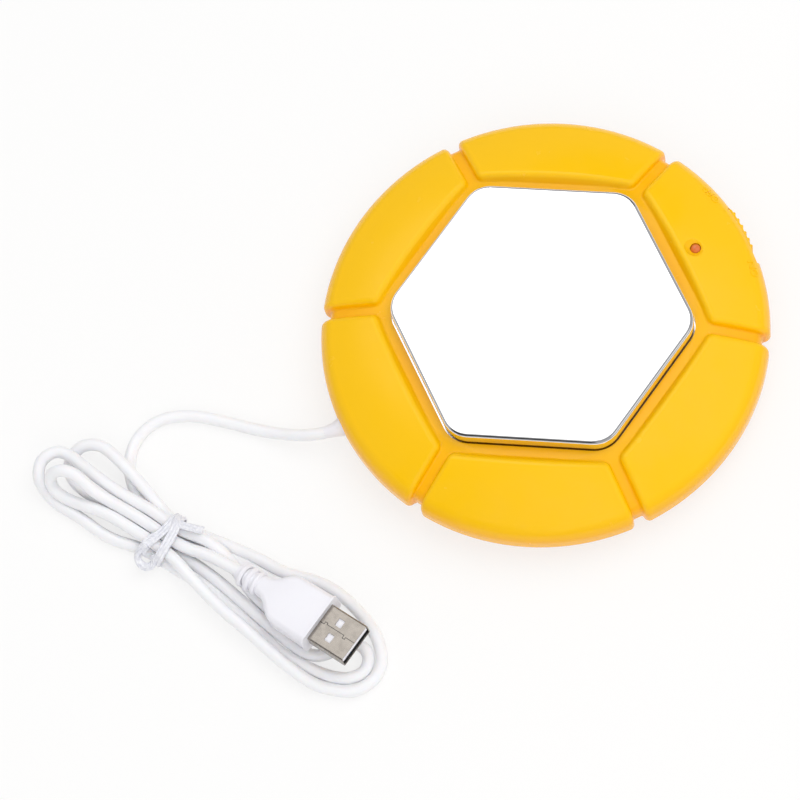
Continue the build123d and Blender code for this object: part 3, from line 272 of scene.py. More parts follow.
class WarmerPlastic(bpy.types.PropertyGroup):
    """Moulded pieces."""

    yellow: colour_property("Yellow", screen(255, 199, 0), "Colour of the housing and the switch knob")
    # Painted shade: this deeper yellow stands in for the shade in the housing's recesses and low on its
    # rim.
    yellow_painted_shade: colour_property("Deep yellow", screen(255, 186, 0), "Colour in the housing's recesses")
    white: colour_property("White", screen(243, 242, 248), "Colour of the plug's white pieces")
    black: colour_property("Black", (0.018, 0.018, 0.019), "Colour of the dark pieces inside")
    lens_tint: colour_property("Lamp tint", screen(224, 124, 66), "Colour of the unlit lamp")
    gloss: FloatProperty(
        name="Gloss", description="Roughness of the housing's skin", default=0.2, min=0.02, max=0.6
    )
    mark_height: length_property("Mark height", 0.0024, "Height of the letters by the switch")
    mark_relief: length_property("Mark relief", 0.00018, "How far the letters stand proud")


class WarmerMetal(bpy.types.PropertyGroup):
    """Plate, screws and contacts."""

    plate: colour_property("Plate", (0.97, 0.972, 0.975), "Colour of the polished heating plate")
    nickel: colour_property("Nickel", screen(170, 163, 155), "Colour of the plug's shell")
    zinc: colour_property("Zinc", (0.55, 0.56, 0.57), "Colour of screws and bracket")
    gold: colour_property("Gold", (0.85, 0.60, 0.22), "Colour of the plug's contacts")
    plate_polish: FloatProperty(
        name="Plate polish", description="Roughness of the plate", default=0.06, min=0.01, max=0.5
    )


class WarmerLead(bpy.types.PropertyGroup):
    """Lead and the tie that holds its turns."""

    diameter: length_property("Diameter", 0.0035, "Diameter of the lead's jacket")
    length: length_property("Length", 0.79, "Length of the lead, from the housing to its plug")
    jacket: colour_property("Jacket", screen(246, 246, 249), "Colour of the lead's jacket")
    tie_width: length_property("Tie width", 0.0027, "Width of the paper strip")
    tie_pleat: length_property("Tie pleat", 0.00013, "Depth of the strip's creases")
    tie_sheet: length_property("Tie sheet", 0.00025, "Thickness of the strip")
    seed: IntProperty(name="Seed", description="Seed of the strip's creases", default=7)


# ---- finishes --------------------------------------------


def set_stops(ramp, stops):
    """Gives a colour ramp its stops, each a position and a colour."""
    elements = ramp.color_ramp.elements
    while len(elements) < len(stops):
        elements.new(0.5)
    for element, (position, colour) in zip(elements, stops):
        element.position = position
        element.color = (*colour, 1.0)


class Finish:
    """One procedural finish while its nodes are put together."""

    def __init__(self, name, colour, roughness, metallic=0.0, **sockets):
        self.material = bpy.data.materials.new(name)
        self.material.use_nodes = True
        self.nodes = self.material.node_tree.nodes
        self.links = self.material.node_tree.links
        self.shader = self.nodes["Principled BSDF"]
        self.shader.inputs["Base Color"].default_value = (*colour, 1.0)
        self.shader.inputs["Roughness"].default_value = roughness
        self.shader.inputs["Metallic"].default_value = metallic
        for socket, value in sockets.items():
            self.shader.inputs[socket.replace("_", " ")].default_value = value
        self.place = self.nodes.new("ShaderNodeTexCoord").outputs["Object"]
        self.relief = None

    def stretched(self, x, y, z):
        """Object coordinates scaled along each axis."""
        mapping = self.nodes.new("ShaderNodeMapping")
        mapping.inputs["Scale"].default_value = (x, y, z)
        self.links.new(self.place, mapping.inputs["Vector"])
        return mapping.outputs["Vector"]

    def noise(self, scale, detail=3.0, roughness=0.5, place=None):
        """Cloudy pattern, scale in features per metre."""
        pattern = self.nodes.new("ShaderNodeTexNoise")
        pattern.inputs["Scale"].default_value = scale
        pattern.inputs["Detail"].default_value = detail
        pattern.inputs["Roughness"].default_value = roughness
        self.links.new(place or self.place, pattern.inputs["Vector"])
        return pattern.outputs["Fac"]

    def flakes(self, scale, feature="F1"):
        """Cellular pattern, scale in cells per metre."""
        pattern = self.nodes.new("ShaderNodeTexVoronoi")
        pattern.feature = feature
        pattern.inputs["Scale"].default_value = scale
        self.links.new(self.place, pattern.inputs["Vector"])
        return pattern.outputs["Distance"]

    def ramp(self, factor, *stops, kind="LINEAR"):
        """Colour ramp over a factor; stops are (position, colour)."""
        ramp = self.nodes.new("ShaderNodeValToRGB")
        ramp.color_ramp.interpolation = kind
        set_stops(ramp, stops)
        self.links.new(factor, ramp.inputs["Fac"])
        return ramp.outputs["Color"]

    def span(self, value, low, high, start=0.3, end=0.7):
        """Value mapped from start..end to low..high."""
        mapped = self.nodes.new("ShaderNodeMapRange")
        mapped.inputs["From Min"].default_value = start
        mapped.inputs["From Max"].default_value = end
        mapped.inputs["To Min"].default_value = low
        mapped.inputs["To Max"].default_value = high
        self.links.new(value, mapped.inputs["Value"])
        return mapped.outputs["Result"]

    def axis(self, letter):
        """One object coordinate."""
        split = self.nodes.new("ShaderNodeSeparateXYZ")
        self.links.new(self.place, split.inputs["Vector"])
        return split.outputs[letter]

    def colour(self, socket):
        """Base colour from a socket."""
        self.links.new(socket, self.shader.inputs["Base Color"])
        return self

    def tint(self, pattern, *colours):
        """Base colour that wanders between the given colours."""
        steps = len(colours) - 1
        stops = [(0.3 + 0.4 * step / steps, colour) for step, colour in enumerate(colours)]
        return self.colour(self.ramp(pattern, *stops))

    def roughen(self, pattern, low, high):
        """Roughness that wanders between two values."""
        self.links.new(self.span(pattern, low, high), self.shader.inputs["Roughness"])
        return self

    def emboss(self, pattern, depth, strength=1.0):
        """Adds relief of a depth in metres."""
        bump = self.nodes.new("ShaderNodeBump")
        bump.inputs["Distance"].default_value = depth
        bump.inputs["Strength"].default_value = strength
        self.links.new(pattern, bump.inputs["Height"])
        if self.relief:
            self.links.new(self.relief, bump.inputs["Normal"])
        self.relief = bump.outputs["Normal"]
        self.links.new(self.relief, self.shader.inputs["Normal"])
        return self


def shade(colour, factor):
    """A colour made lighter or darker."""
    return tuple(min(1.0, c * factor) for c in colour)


def gloss_yellow(plastic):
    """Polished ABS skin: painted shade deepens its tone in the recesses and low on the rim, faint flow
    marks, fine scratches.
    """
    skin = Finish("gloss_yellow", plastic.yellow, plastic.gloss, Specular_IOR_Level=0.4)
    distance = skin.nodes.new("ShaderNodeVectorMath")
    distance.operation = "LENGTH"
    skin.links.new(skin.stretched(1.0, 1.0, 0.0), distance.inputs[0])
    measure = skin.nodes.new("ShaderNodeMath")
    measure.operation = "MULTIPLY_ADD"
    skin.links.new(distance.outputs["Value"], measure.inputs[0])
    measure.inputs[1].default_value = PAINTED_SHADE_RADIUS_SHARE
    skin.links.new(skin.axis("Z"), measure.inputs[2])
    # Painted shade: low and inner parts of the housing take the deeper yellow.
    height = skin.span(measure.outputs["Value"], 0.0, 1.0, *PAINTED_SHADE_SPAN)
    skin.colour(skin.ramp(height, (0.0, plastic.yellow_painted_shade), (1.0, plastic.yellow)))
    skin.roughen(skin.noise(160, detail=5, roughness=0.6), plastic.gloss * 0.8, plastic.gloss * 1.4)
    skin.emboss(skin.noise(40, detail=1), depth=0.00003, strength=0.25)
    skin.emboss(skin.noise(2600), depth=0.000003, strength=0.3)
    return skin.material


def satin_yellow(plastic):
    """Spark-eroded ABS of the knob and the base: finely grained, less glossy."""
    skin = Finish("satin_yellow", plastic.yellow, 0.28, Specular_IOR_Level=0.3)
    skin.tint(skin.noise(45), shade(plastic.yellow, 0.97), plastic.yellow)
    skin.roughen(skin.noise(700, detail=4), 0.22, 0.36)
    skin.emboss(skin.noise(5200, detail=2), depth=0.00001, strength=0.4)
    return skin.material


def mirror_steel(metal):
    """Drawn and polished stainless: faint polishing lines, wiped smudges."""
    polish = metal.plate_polish
    steel = Finish("mirror_steel", metal.plate, polish, metallic=1.0)
    lines = steel.noise(900, detail=2, place=steel.stretched(1.0, 0.03, 1.0))
    steel.tint(steel.noise(35, detail=4), shade(metal.plate, 0.975), metal.plate)
    steel.roughen(steel.noise(60, detail=5, roughness=0.65), polish * 0.7, polish * 1.7)
    steel.emboss(lines, depth=0.000002, strength=0.25)
    steel.emboss(steel.noise(30, detail=1), depth=0.00004, strength=0.2)
    return steel.material


def plated(name, colour, roughness, scratch=0.000004):
    """Plated or rolled sheet: cloudy plating and fine scratches along one way."""
    sheet = Finish(name, colour, roughness, metallic=1.0)
    clouds = sheet.noise(420, detail=4, roughness=0.6)
    sheet.tint(clouds, shade(colour, 0.86), colour, shade(colour, 1.06))
    sheet.roughen(sheet.noise(900, detail=4, roughness=0.6), roughness * 0.75, roughness * 1.35)
    scratches = sheet.noise(2400, roughness=0.6, place=sheet.stretched(1.0, 0.12, 1.0))
    sheet.emboss(scratches, depth=scratch, strength=0.5)
    return sheet.material


def moulded_white(plastic):
    """White PVC overmoulding: satin, with a very fine grain."""
    depth = (0.0012, 0.0011, 0.001)
    skin = Finish("moulded_white", plastic.white, 0.34, Subsurface_Weight=0.08, Subsurface_Radius=depth)
    skin.tint(skin.noise(90), shade(plastic.white, 0.97), plastic.white)
    skin.roughen(skin.noise(800), 0.28, 0.42)
    skin.emboss(skin.noise(3600, detail=2), depth=0.000008, strength=0.35)
    return skin.material


def lead_jacket(lead):
    """Extruded PVC jacket: soft sheen, faint marks of the wires inside, dust-like speckle."""
    depth = (0.0018, 0.0014, 0.0011)
    skin = Finish("lead_jacket", lead.jacket, 0.36, Subsurface_Weight=0.25, Subsurface_Radius=depth)
    skin.tint(skin.noise(120, detail=4), shade(lead.jacket, 0.975), lead.jacket)
    skin.roughen(skin.noise(500, detail=4), 0.3, 0.46)
    skin.emboss(skin.noise(260, detail=2), depth=0.00006, strength=0.3)
    skin.emboss(skin.noise(3200, detail=2), depth=0.000006, strength=0.3)
    return skin.material


def tie_paper():
    """Plastic-coated paper strip: crinkled, slightly translucent, with painted shade and highlight that
    follow its creases.
    """
    white, depth = screen(246, 246, 250), (0.001, 0.001, 0.001)
    paper = Finish("tie_paper", white, 0.42, Subsurface_Weight=0.1, Subsurface_Radius=depth)
    creases = paper.noise(900, detail=4, roughness=0.6)
    # Painted shade and highlight: the colour darkens and lightens with the crease relief.
    paper.tint(creases, screen(222, 223, 233), screen(250, 250, 253))
    paper.roughen(creases, 0.3, 0.5)
    paper.emboss(creases, depth=0.00005, strength=0.5)
    return paper.material


def lamp_lens(plastic):
    """Tinted epoxy dome, clouded inside."""
    inside = {"Subsurface_Weight": 0.5, "Subsurface_Radius": (0.0015, 0.001, 0.0008)}
    lens = Finish("lamp_lens", plastic.lens_tint, 0.08, Coat_Weight=1.0, Coat_Roughness=0.03, **inside)
    lens.tint(lens.noise(700, detail=2), shade(plastic.lens_tint, 0.9), plastic.lens_tint)
    lens.emboss(lens.noise(300, detail=1), depth=0.00004, strength=0.2)
    return lens.material


def mica_sheet():
    """Pressed mica: overlapping silvery-brown flakes."""
    sheet = Finish("mica_sheet", (0.42, 0.36, 0.26), 0.3)
    cells = sheet.flakes(420)
    browns = [(0.0, (0.30, 0.25, 0.17)), (0.45, (0.46, 0.40, 0.30)), (1.0, (0.62, 0.57, 0.46))]
    sheet.colour(sheet.ramp(cells, *browns))
    sheet.roughen(sheet.noise(600), 0.2, 0.45)
    sheet.emboss(cells, depth=0.00003, strength=0.4)
    return sheet.material


def glass_felt():
    """Needled glass-fibre felt."""
    felt = Finish("glass_felt", (0.80, 0.79, 0.74), 0.9, Sheen_Weight=0.4)
    fibres = felt.noise(2600, detail=6, roughness=0.75, place=felt.stretched(1.0, 0.35, 1.0))
    felt.tint(fibres, (0.66, 0.65, 0.60), (0.84, 0.83, 0.79))
    felt.emboss(fibres, depth=0.00025, strength=0.7)
    felt.emboss(felt.noise(180), depth=0.0003, strength=0.4)
    return felt.material


def green_board():
    """Solder mask over copper tracks."""
    board = Finish("green_board", (0.012, 0.11, 0.03), 0.22)
    tracks = board.flakes(330, feature="DISTANCE_TO_EDGE")
    greens = [(0.0, (0.02, 0.17, 0.05)), (0.1, (0.012, 0.10, 0.03))]
    board.colour(board.ramp(tracks, *greens, kind="CONSTANT"))
    board.emboss(tracks, depth=0.00004, strength=0.3)
    board.roughen(board.noise(900), 0.18, 0.32)
    return board.material


def film_resistor():
    """Lacquered body with colour bands; bright leads."""
    tan, lead, brown = (0.60, 0.42, 0.22), (0.60, 0.60, 0.62), (0.24, 0.08, 0.02)
    black, red, gold = (0.01, 0.01, 0.01), (0.45, 0.05, 0.02), (0.62, 0.42, 0.12)
    body = Finish("film_resistor", tan, 0.3)
    along = body.span(body.axis("X"), 0.0, 1.0, -0.0045, 0.0045)
    stops = [(0.0, lead), (0.16, tan), (0.27, brown), (0.33, tan), (0.41, black), (0.47, tan)]
    stops += [(0.55, red), (0.61, tan), (0.71, gold), (0.77, tan), (0.84, lead)]
    body.colour(body.ramp(along, *stops, kind="CONSTANT"))
    body.emboss(body.noise(1200), depth=0.00002, strength=0.3)
    return body.material


def plain_plastic(name, colour, roughness, grain=0.00001):
    """Small moulded or extruded piece with a fine grain."""
    skin = Finish(name, colour, roughness)
    skin.tint(skin.noise(220), shade(colour, 0.88), colour)
    skin.roughen(skin.noise(900, detail=4), roughness * 0.8, roughness * 1.25)
    skin.emboss(skin.noise(3800, detail=2), depth=grain, strength=0.45)
    return skin.material


def make_finishes(context):
    """Every finish, by the record's material slot."""
    scene = context.scene
    plastic, metal, lead = scene.warmer_plastic, scene.warmer_metal, scene.warmer_lead
    zinc = tuple(metal.zinc)
    return {
        "yellow_gloss": gloss_yellow(plastic),
        "yellow_knob": satin_yellow(plastic),
        "polished_steel": mirror_steel(metal),
        "mica": mica_sheet(),
        "heater_ribbon": plated("heater_ribbon", (0.42, 0.39, 0.36), 0.4),
        "felt": glass_felt(),
        "zinc_steel": plated("zinc_sheet", zinc, 0.32),
        "screw_steel": plated("zinc_screw", shade(zinc, 1.1), 0.28),
        "board": green_board(),
        "black_plastic": plain_plastic("black_nylon", tuple(plastic.black), 0.4),
        "lamp_clear": lamp_lens(plastic),
        "resistor": film_resistor(),
        "white_plastic": moulded_white(plastic),
        "white_cord": lead_jacket(lead),
        "white_tie": tie_paper(),
        "plug_nickel": plated("plug_nickel", tuple(metal.nickel), 0.24, 0.000003),
        "contact_gold": plated("contact_gold", tuple(metal.gold), 0.2),
        "red_wire": plain_plastic("red_wire", (0.45, 0.012, 0.01), 0.35),
        "black_wire": plain_plastic("black_wire", (0.015, 0.015, 0.015), 0.35),
        "white_wire": plain_plastic("white_wire", (0.76, 0.76, 0.73), 0.45),
        "foot_rubber": plain_plastic("foot_rubber", (0.022, 0.022, 0.023), 0.7, 0.00003),
    }


def dress(piece, slot):
    """Gives a new piece the finish of a slot and sets it on the housing's body."""
    piece.data.materials.clear()
    piece.data.materials.append(bpy.data.materials[bpy.context.scene["finish_names"][slot]])
    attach(piece, "housing")


# ---- shapes ----------------------------------------------


def new_object(name, data):
    """Object in the scene with its data."""
    piece = bpy.data.objects.new(name, data)
    bpy.context.scene.collection.objects.link(piece)
    return piece


def mesh_object(name, vertices, faces, smooth=True):
    """Mesh piece from points and faces, its normals outwards."""
    mesh = bpy.data.meshes.new(name)
    mesh.from_pydata([tuple(v) for v in vertices], [], faces)
    shape = bmesh.new()
    shape.from_mesh(mesh)
    bmesh.ops.recalc_face_normals(shape, faces=shape.faces)
    shape.to_mesh(mesh)
    shape.free()
    for polygon in mesh.polygons:
        polygon.use_smooth = smooth
    return new_object(name, mesh)


def place_on_rim(angle, along, up, lift):
    """Point by the marks on the rim's round skin: along the rim, up its section, lifted off it."""
    turn = math.radians(angle) + along / (RIM_CENTRE + RIM_RADIUS)
    rise = math.radians(MARK_CLIMB) + up / RIM_RADIUS
    reach = RIM_CENTRE + (RIM_RADIUS + lift) * math.cos(rise)
    height = RIM_LEVEL + (RIM_RADIUS + lift) * math.sin(rise)
    return Vector((reach * math.cos(turn), reach * math.sin(turn), height))


def joined(name, pieces):
    """One mesh piece out of several, which it uses up."""
    vertices, faces = [], []
    for piece in pieces:
        start = len(vertices)
        vertices += [vertex.co.copy() for vertex in piece.data.vertices]
        for polygon in piece.data.polygons:
            faces.append(tuple(start + index for index in polygon.vertices))
        bpy.data.objects.remove(piece)
    return mesh_object(name, vertices, faces)


def ring_faces(rings, sides, closed=False):
    """Faces between rings of points that follow each other, capped or closed to a loop."""
    faces = []
    for ring in range(rings if closed else rings - 1):
        here, ahead = ring * sides, (ring + 1) % rings * sides
        for side in range(sides):
            after = (side + 1) % sides
            faces.append((here + side, here + after, ahead + after, ahead + side))
    if not closed:
        last = (rings - 1) * sides
        faces += [tuple(range(sides)), tuple(range(last, last + sides))]
    return faces


def nurbs(name, points):
    """Curve data of one smooth line drawn by its control points."""
    data = bpy.data.curves.new(name, "CURVE")
    data.dimensions = "3D"
    line = data.splines.new("NURBS")
    line.points.add(len(points) - 1)
    for point, place in zip(line.points, points):
        point.co = (*place, 1.0)
    line.order_u = 3
    line.use_endpoint_u = True
    line.resolution_u = CURVE_STEPS
    return data


def mesh_of(data):
    """Mesh of a curve or text, which it uses up."""
    source = new_object("source", data)
    bpy.context.view_layer.update()
    mesh = bpy.data.meshes.new_from_object(source.evaluated_get(bpy.context.evaluated_depsgraph_get()))
    bpy.data.objects.remove(source)
    return mesh


def smooth_line(points):
    """Points along the smooth line drawn by control points."""
    return [vertex.co.copy() for vertex in mesh_of(nurbs("line", points)).vertices]


def heading(line, step):
    """Direction of a line of points at one of them."""
    return (line[min(step + 1, len(line) - 1)] - line[max(step - 1, 0)]).normalized()


def bundle_axes():
    """Directions along the tied bundle and across it."""
    along = Vector((math.cos(TIE_HEADING), math.sin(TIE_HEADING), 0))
    return along, Vector((-along.y, along.x, 0))


def bundle_point(along, across, up):
    """Point given in millimetres along, across and above the bundle at its tie."""
    forward, sideways = bundle_axes()
    return TIE_CENTRE + (forward * along + sideways * across + Vector((0, 0, up))) * MM


def bundle_middle(point):
    """Point inside the bundle that a point on the tie faces."""
    forward, sideways = bundle_axes()
    offset = (point - TIE_CENTRE) / MM
    return bundle_point(offset.dot(forward), offset.dot(sideways) * MIDDLE_SHARE, BUNDLE_MIDDLE)


def plug_axes():
    """Directions along the plug, across it and up through its top."""
    flat = math.cos(PLUG_PITCH)
    along = Vector((flat * math.cos(PLUG_HEADING), flat * math.sin(PLUG_HEADING), math.sin(PLUG_PITCH)))
    across = Vector((-math.sin(PLUG_HEADING), math.cos(PLUG_HEADING), 0))
    return along, across, along.cross(across)


def plug_point(along, across, up):
    """Point in the plug's own directions from its entry."""
    directions = plug_axes()
    return PLUG_ENTRY + directions[0] * along + directions[1] * across + directions[2] * up


def flat_strip(name, points, up, width):
    """Thin ribbon of mitred stretches along points, its face turned up."""
    rows = []
    for step, here in enumerate(points):
        before = (here - points[max(step - 1, 0)]).normalized()
        after = (points[min(step + 1, len(points) - 1)] - here).normalized()
        side = up.cross(before + after).normalized()
        facing = abs(side.dot(up.cross(after if after.length else before)))
        reach = width / 2 / max(MITRE_LIMIT, facing)
        rows.append((here - side * reach, here + side * reach))
    deep = up * -width / 4
    vertices = [corner + shift for row in rows for shift in (Vector(), deep) for corner in row]
    faces = []
    for step in range(len(rows) - 1):
        near, far = 4 * step, 4 * step + 4
        for a, b in ((0, 1), (1, 3), (3, 2), (2, 0)):
            faces.append((near + a, near + b, far + b, far + a))
    faces += [(0, 1, 3, 2), (far, far + 1, far + 3, far + 2)]
    return mesh_object(name, vertices, faces, smooth=False)


def screw_heads(node, upward):
    """Middle and diameter of each screw head's outer face in a node of screws."""
    points = [vertex.co.copy() for vertex in node.data.vertices]
    outermost = max if upward else min
    height = outermost(point.z for point in points)
    heads = []
    for point in points:
        if abs(point.z - height) >= FACE_TOLERANCE:
            continue
        for group in heads:
            if (group[0] - point).length < HEAD_REACH:
                group.append(point)
                break
        else:
            heads.append([point])
    for group in heads:
        low = Vector([min(point[i] for point in group) for i in range(3)])
        high = Vector([max(point[i] for point in group) for i in range(3)])
        yield (low + high) / 2, high.x - low.x


# ---- steps -----------------------------------------------


class WARMER_OT_stage(bpy.types.Operator):
    """Camera, pale floor, soft lamps and the room that reflections show"""

    bl_idname = "warmer.stage"
    bl_label = "Stage"

    def execute(self, context):
        stage = context.scene.warmer_stage
        camera_data = bpy.data.cameras.new("camera")
        camera_data.lens = stage.lens
        camera_data.sensor_width = SENSOR_WIDTH
        camera_data.clip_start = CLIP_START
        camera = new_object("camera", camera_data)
        camera.location = stage.camera_place
        camera.rotation_euler = stage.camera_turn
        context.scene.camera = camera
        context.scene.view_settings.view_transform = "Standard"

        half = stage.floor_size / 2
        corners = [(-half, -half, 0), (half, -half, 0), (half, half, 0), (-half, half, 0)]
        floor = mesh_object("floor", corners, [(0, 1, 2, 3)], smooth=False)
        floor.location.z = -FLOOR_DROP
        floor.data.materials.append(self.floor_finish(stage))

        self.lamp("key_lamp", *KEY_LAMP, stage.key_power)
        self.lamp("side_lamp", *SIDE_LAMP, stage.side_power)
        self.sky(context, stage)
        return {"FINISHED"}

    def floor_finish(self, stage):
        """Matt floor that the camera and reflections see lightened, with its shadows."""
        finish = Finish("floor_paper", stage.floor_colour, 0.9)
        finish.tint(finish.noise(6, 2), shade(stage.floor_colour, 0.99), stage.floor_colour)
        nodes, links = finish.nodes, finish.links
        path = nodes.new("ShaderNodeLightPath")
        seen = nodes.new("ShaderNodeMath")
        seen.operation = "MAXIMUM"
        links.new(path.outputs["Is Camera Ray"], seen.inputs[0])
        links.new(path.outputs["Is Glossy Ray"], seen.inputs[1])
        amount = nodes.new("ShaderNodeMath")
        amount.operation = "MULTIPLY"
        amount.inputs[1].default_value = FLOOR_GLOW
        links.new(seen.outputs["Value"], amount.inputs[0])
        glow = nodes.new("ShaderNodeEmission")
        mix = nodes.new("ShaderNodeMixShader")
        links.new(amount.outputs["Value"], mix.inputs["Fac"])
        links.new(finish.shader.outputs["BSDF"], mix.inputs[1])
        links.new(glow.outputs["Emission"], mix.inputs[2])
        links.new(mix.outputs["Shader"], nodes["Material Output"].inputs["Surface"])
        return finish.material

    def lamp(self, name, place, size, power):
        """Round soft lamp aimed at the disc, which reflections don't show."""
        data = bpy.data.lights.new(name, "AREA")
        data.shape = "DISK"
        data.size = size
        data.energy = power
        lamp = new_object(name, data)
        lamp.location = place
        lamp.rotation_euler = (-Vector(place)).to_track_quat("-Z", "Y").to_euler()
        lamp.visible_glossy = False

    def sky(self, context, stage):
        """Even and gentle on matt surfaces; a dim room with bright windows in reflections."""
        world = bpy.data.worlds.new("studio")
        context.scene.world = world
        world.use_nodes = True
        nodes, links = world.node_tree.nodes, world.node_tree.links
        white = nodes["Background"]
        white.inputs["Color"].default_value = (1, 1, 1, 1)
        gentle = nodes.new("ShaderNodeBackground")
        gentle.inputs["Color"].default_value = (1, 1, 1, 1)
        gentle.inputs["Strength"].default_value = stage.sky_strength

        direction = nodes.new("ShaderNodeTexCoord").outputs["Generated"]
        split = nodes.new("ShaderNodeSeparateXYZ")
        links.new(direction, split.inputs["Vector"])
        walls = nodes.new("ShaderNodeValToRGB")
        set_stops(walls, ROOM_WALLS)
        links.new(split.outputs["Z"], walls.inputs["Fac"])
        room = nodes.new("ShaderNodeBackground")
        links.new(walls.outputs["Color"], room.inputs["Color"])
        seen = room.outputs["Background"]
        for window in WINDOWS:
            seen = self.window(nodes, links, direction, seen, *window)

        path = nodes.new("ShaderNodeLightPath")
        first = nodes.new("ShaderNodeMixShader")
        links.new(path.outputs["Is Glossy Ray"], first.inputs["Fac"])
        links.new(white.outputs["Background"], first.inputs[1])
        links.new(seen, first.inputs[2])
        second = nodes.new("ShaderNodeMixShader")
        links.new(path.outputs["Is Diffuse Ray"], second.inputs["Fac"])
        links.new(first.outputs["Shader"], second.inputs[1])
        links.new(gentle.outputs["Background"], second.inputs[2])
        links.new(second.outputs["Shader"], nodes["World Output"].inputs["Surface"])

    def window(self, nodes, links, direction, room, centre, inside, outside, strength):
        """Adds a round window or screen to the room, its edge soft between two angles."""
        facing = nodes.new("ShaderNodeVectorMath")
        facing.operation = "DOT_PRODUCT"
        facing.inputs[1].default_value = Vector(centre).normalized()
        links.new(direction, facing.inputs[0])
        edge = nodes.new("ShaderNodeMapRange")
        edge.interpolation_type = "SMOOTHSTEP"
        edge.inputs["From Min"].default_value = math.cos(math.radians(outside))
        edge.inputs["From Max"].default_value = math.cos(math.radians(inside))
        links.new(facing.outputs["Value"], edge.inputs["Value"])
        pane = nodes.new("ShaderNodeBackground")
        pane.inputs["Color"].default_value = (1, 1, 1, 1)
        pane.inputs["Strength"].default_value = strength
        mix = nodes.new("ShaderNodeMixShader")
        links.new(edge.outputs["Result"], mix.inputs["Fac"])
        links.new(room, mix.inputs[1])
        links.new(pane.outputs["Background"], mix.inputs[2])
        return mix.outputs["Shader"]


class WARMER_OT_finishes(bpy.types.Operator):
    """Procedural finishes on all the carried-over pieces"""

    bl_idname = "warmer.finishes"
    bl_label = "Finishes"

    def execute(self, context):
        made = make_finishes(context)
        context.scene["finish_names"] = {slot: material.name for slot, material in made.items()}
        for part in frame["record"]["subparts"]:
            node = frame["nodes"][part["node"]]
            node.data.materials.clear()
            node.data.materials.append(made[part["material_slot"]])
        return {"FINISHED"}


class WARMER_OT_lead(bpy.types.Operator):
    """The lead with its turns, and the gland's tapered mouth round it"""

    bl_idname = "warmer.lead"
    bl_label = "Lead"

    def execute(self, context):
        sizes = context.scene.warmer_lead
        data = nurbs("lead", [Vector(place) * MM for place in LEAD_ROUTE])
        data.bevel_depth = sizes.diameter / 2
        data.bevel_resolution = 5
        data.use_fill_caps = True
        lead = new_object("lead", data)
        dress(lead, "white_cord")
        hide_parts("cord", "cord_hank", "plug_lead")
        tuple(c * MM for c in LEAD_ROUTE[0])
        sleeve = self.sleeve(sizes.diameter / 2)
        dress(sleeve, "white_plastic")
        return {"FINISHED"}

    def sleeve(self, radius):
        """Tapered mouth of the gland, from its end face onto the lead."""
        line = smooth_line([Vector(place) * MM for place in LEAD_ROUTE[:GLAND_POINTS]])
        root = Vector((0, line[0].y - GLAND_ROOT, line[0].z))
        line = [root] + [place for place in line if place.y < GLAND_END]
        vertices = []
        for step, here in enumerate(line):
            ahead = heading(line, step)
            side = ahead.cross(Vector((0, 0, 1))).normalized()
            top = side.cross(ahead)
            share = step / (len(line) - 1)
            reach = radius + GLAND_LIP * (1 - share) ** GLAND_TAPER + GLAND_CLEAR - GLAND_SINK * share
            for turn in range(GLAND_SIDES):
                angle = 2 * math.pi * turn / GLAND_SIDES
                vertices.append(here + side * reach * math.cos(angle) + top * reach * math.sin(angle))
        return mesh_object("gland_sleeve", vertices, ring_faces(len(line), GLAND_SIDES))


class WARMER_OT_tie(bpy.types.Operator):
    """Paper-covered wire tie: two crumpled wraps, a rolled twist and a flat tail"""

    bl_idname = "warmer.tie"
    bl_label = "Twist tie"

    def execute(self, context):
        sizes = context.scene.warmer_lead
        rolls = random.Random(sizes.seed)
        strips = [
            self.strip("wraps", TIE_WRAPS, sizes, rolls, twist=0.0, width=1.0, bulge=0.0),
            self.strip("curl", TIE_CURL, sizes, rolls, twist=3.2, width=0.82, bulge=0.0007),
            self.strip("tail", TIE_TAIL, sizes, rolls, twist=0.2, width=1.0, bulge=0.0),
        ]
        tie = joined("tie_strip", strips)
        dress(tie, "white_tie")
        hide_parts("twist_tie")
        return {"FINISHED"}

    def strip(self, name, route, sizes, rolls, twist, width, bulge):
        """Pleated strip along a route, its flat side to the bundle's middle."""
        line = smooth_line([bundle_point(*place) for place in route])
        length = sum((b - a).length for a, b in zip(line, line[1:]))
        half, sheet = sizes.tie_width / 2 * width, sizes.tie_sheet / 2
        phases = [rolls.uniform(0, FULL_TURN) for _ in range(4)]
        vertices = []
        travelled = 0.0
        for step, here in enumerate(line):
            ahead = heading(line, step)
            travelled += (here - line[step - 1]).length if step else 0.0
            outward = here - bundle_middle(here)
            outward = (outward - ahead * outward.dot(ahead)).normalized()
            sway = SWAY * math.sin(travelled * SWAY_RATE + phases[0])
            outward = Matrix.Rotation(twist * travelled / length + sway, 3, ahead) @ outward
            pinch = 1 + PINCH * math.sin(travelled * PINCH_RATE + phases[1])
            across = ahead.cross(outward) * half * pinch
            row = []
            for place in range(STRIP_POINTS):
                x = place / (STRIP_POINTS - 1) * 2 - 1
                wander = BROAD_WANDER * math.sin(travelled * BROAD_RATE + phases[2])
                pleat = math.sin(BROAD_PLEATS * x + wander)
                pleat += FINE_SHARE * math.sin(FINE_PLEATS * x + travelled * FINE_RATE + phases[3])
                rise = bulge * math.sqrt(max(0.0, 1 - x * x)) + sheet
                row.append((x, pleat * sizes.tie_pleat, rise))
            vertices += [here + across * x + outward * (pleat + rise) for x, pleat, rise in row]
            vertices += [here + across * x + outward * (pleat - rise) for x, pleat, rise in reversed(row)]
        return mesh_object("tie_" + name, vertices, ring_faces(len(line), 2 * STRIP_POINTS))


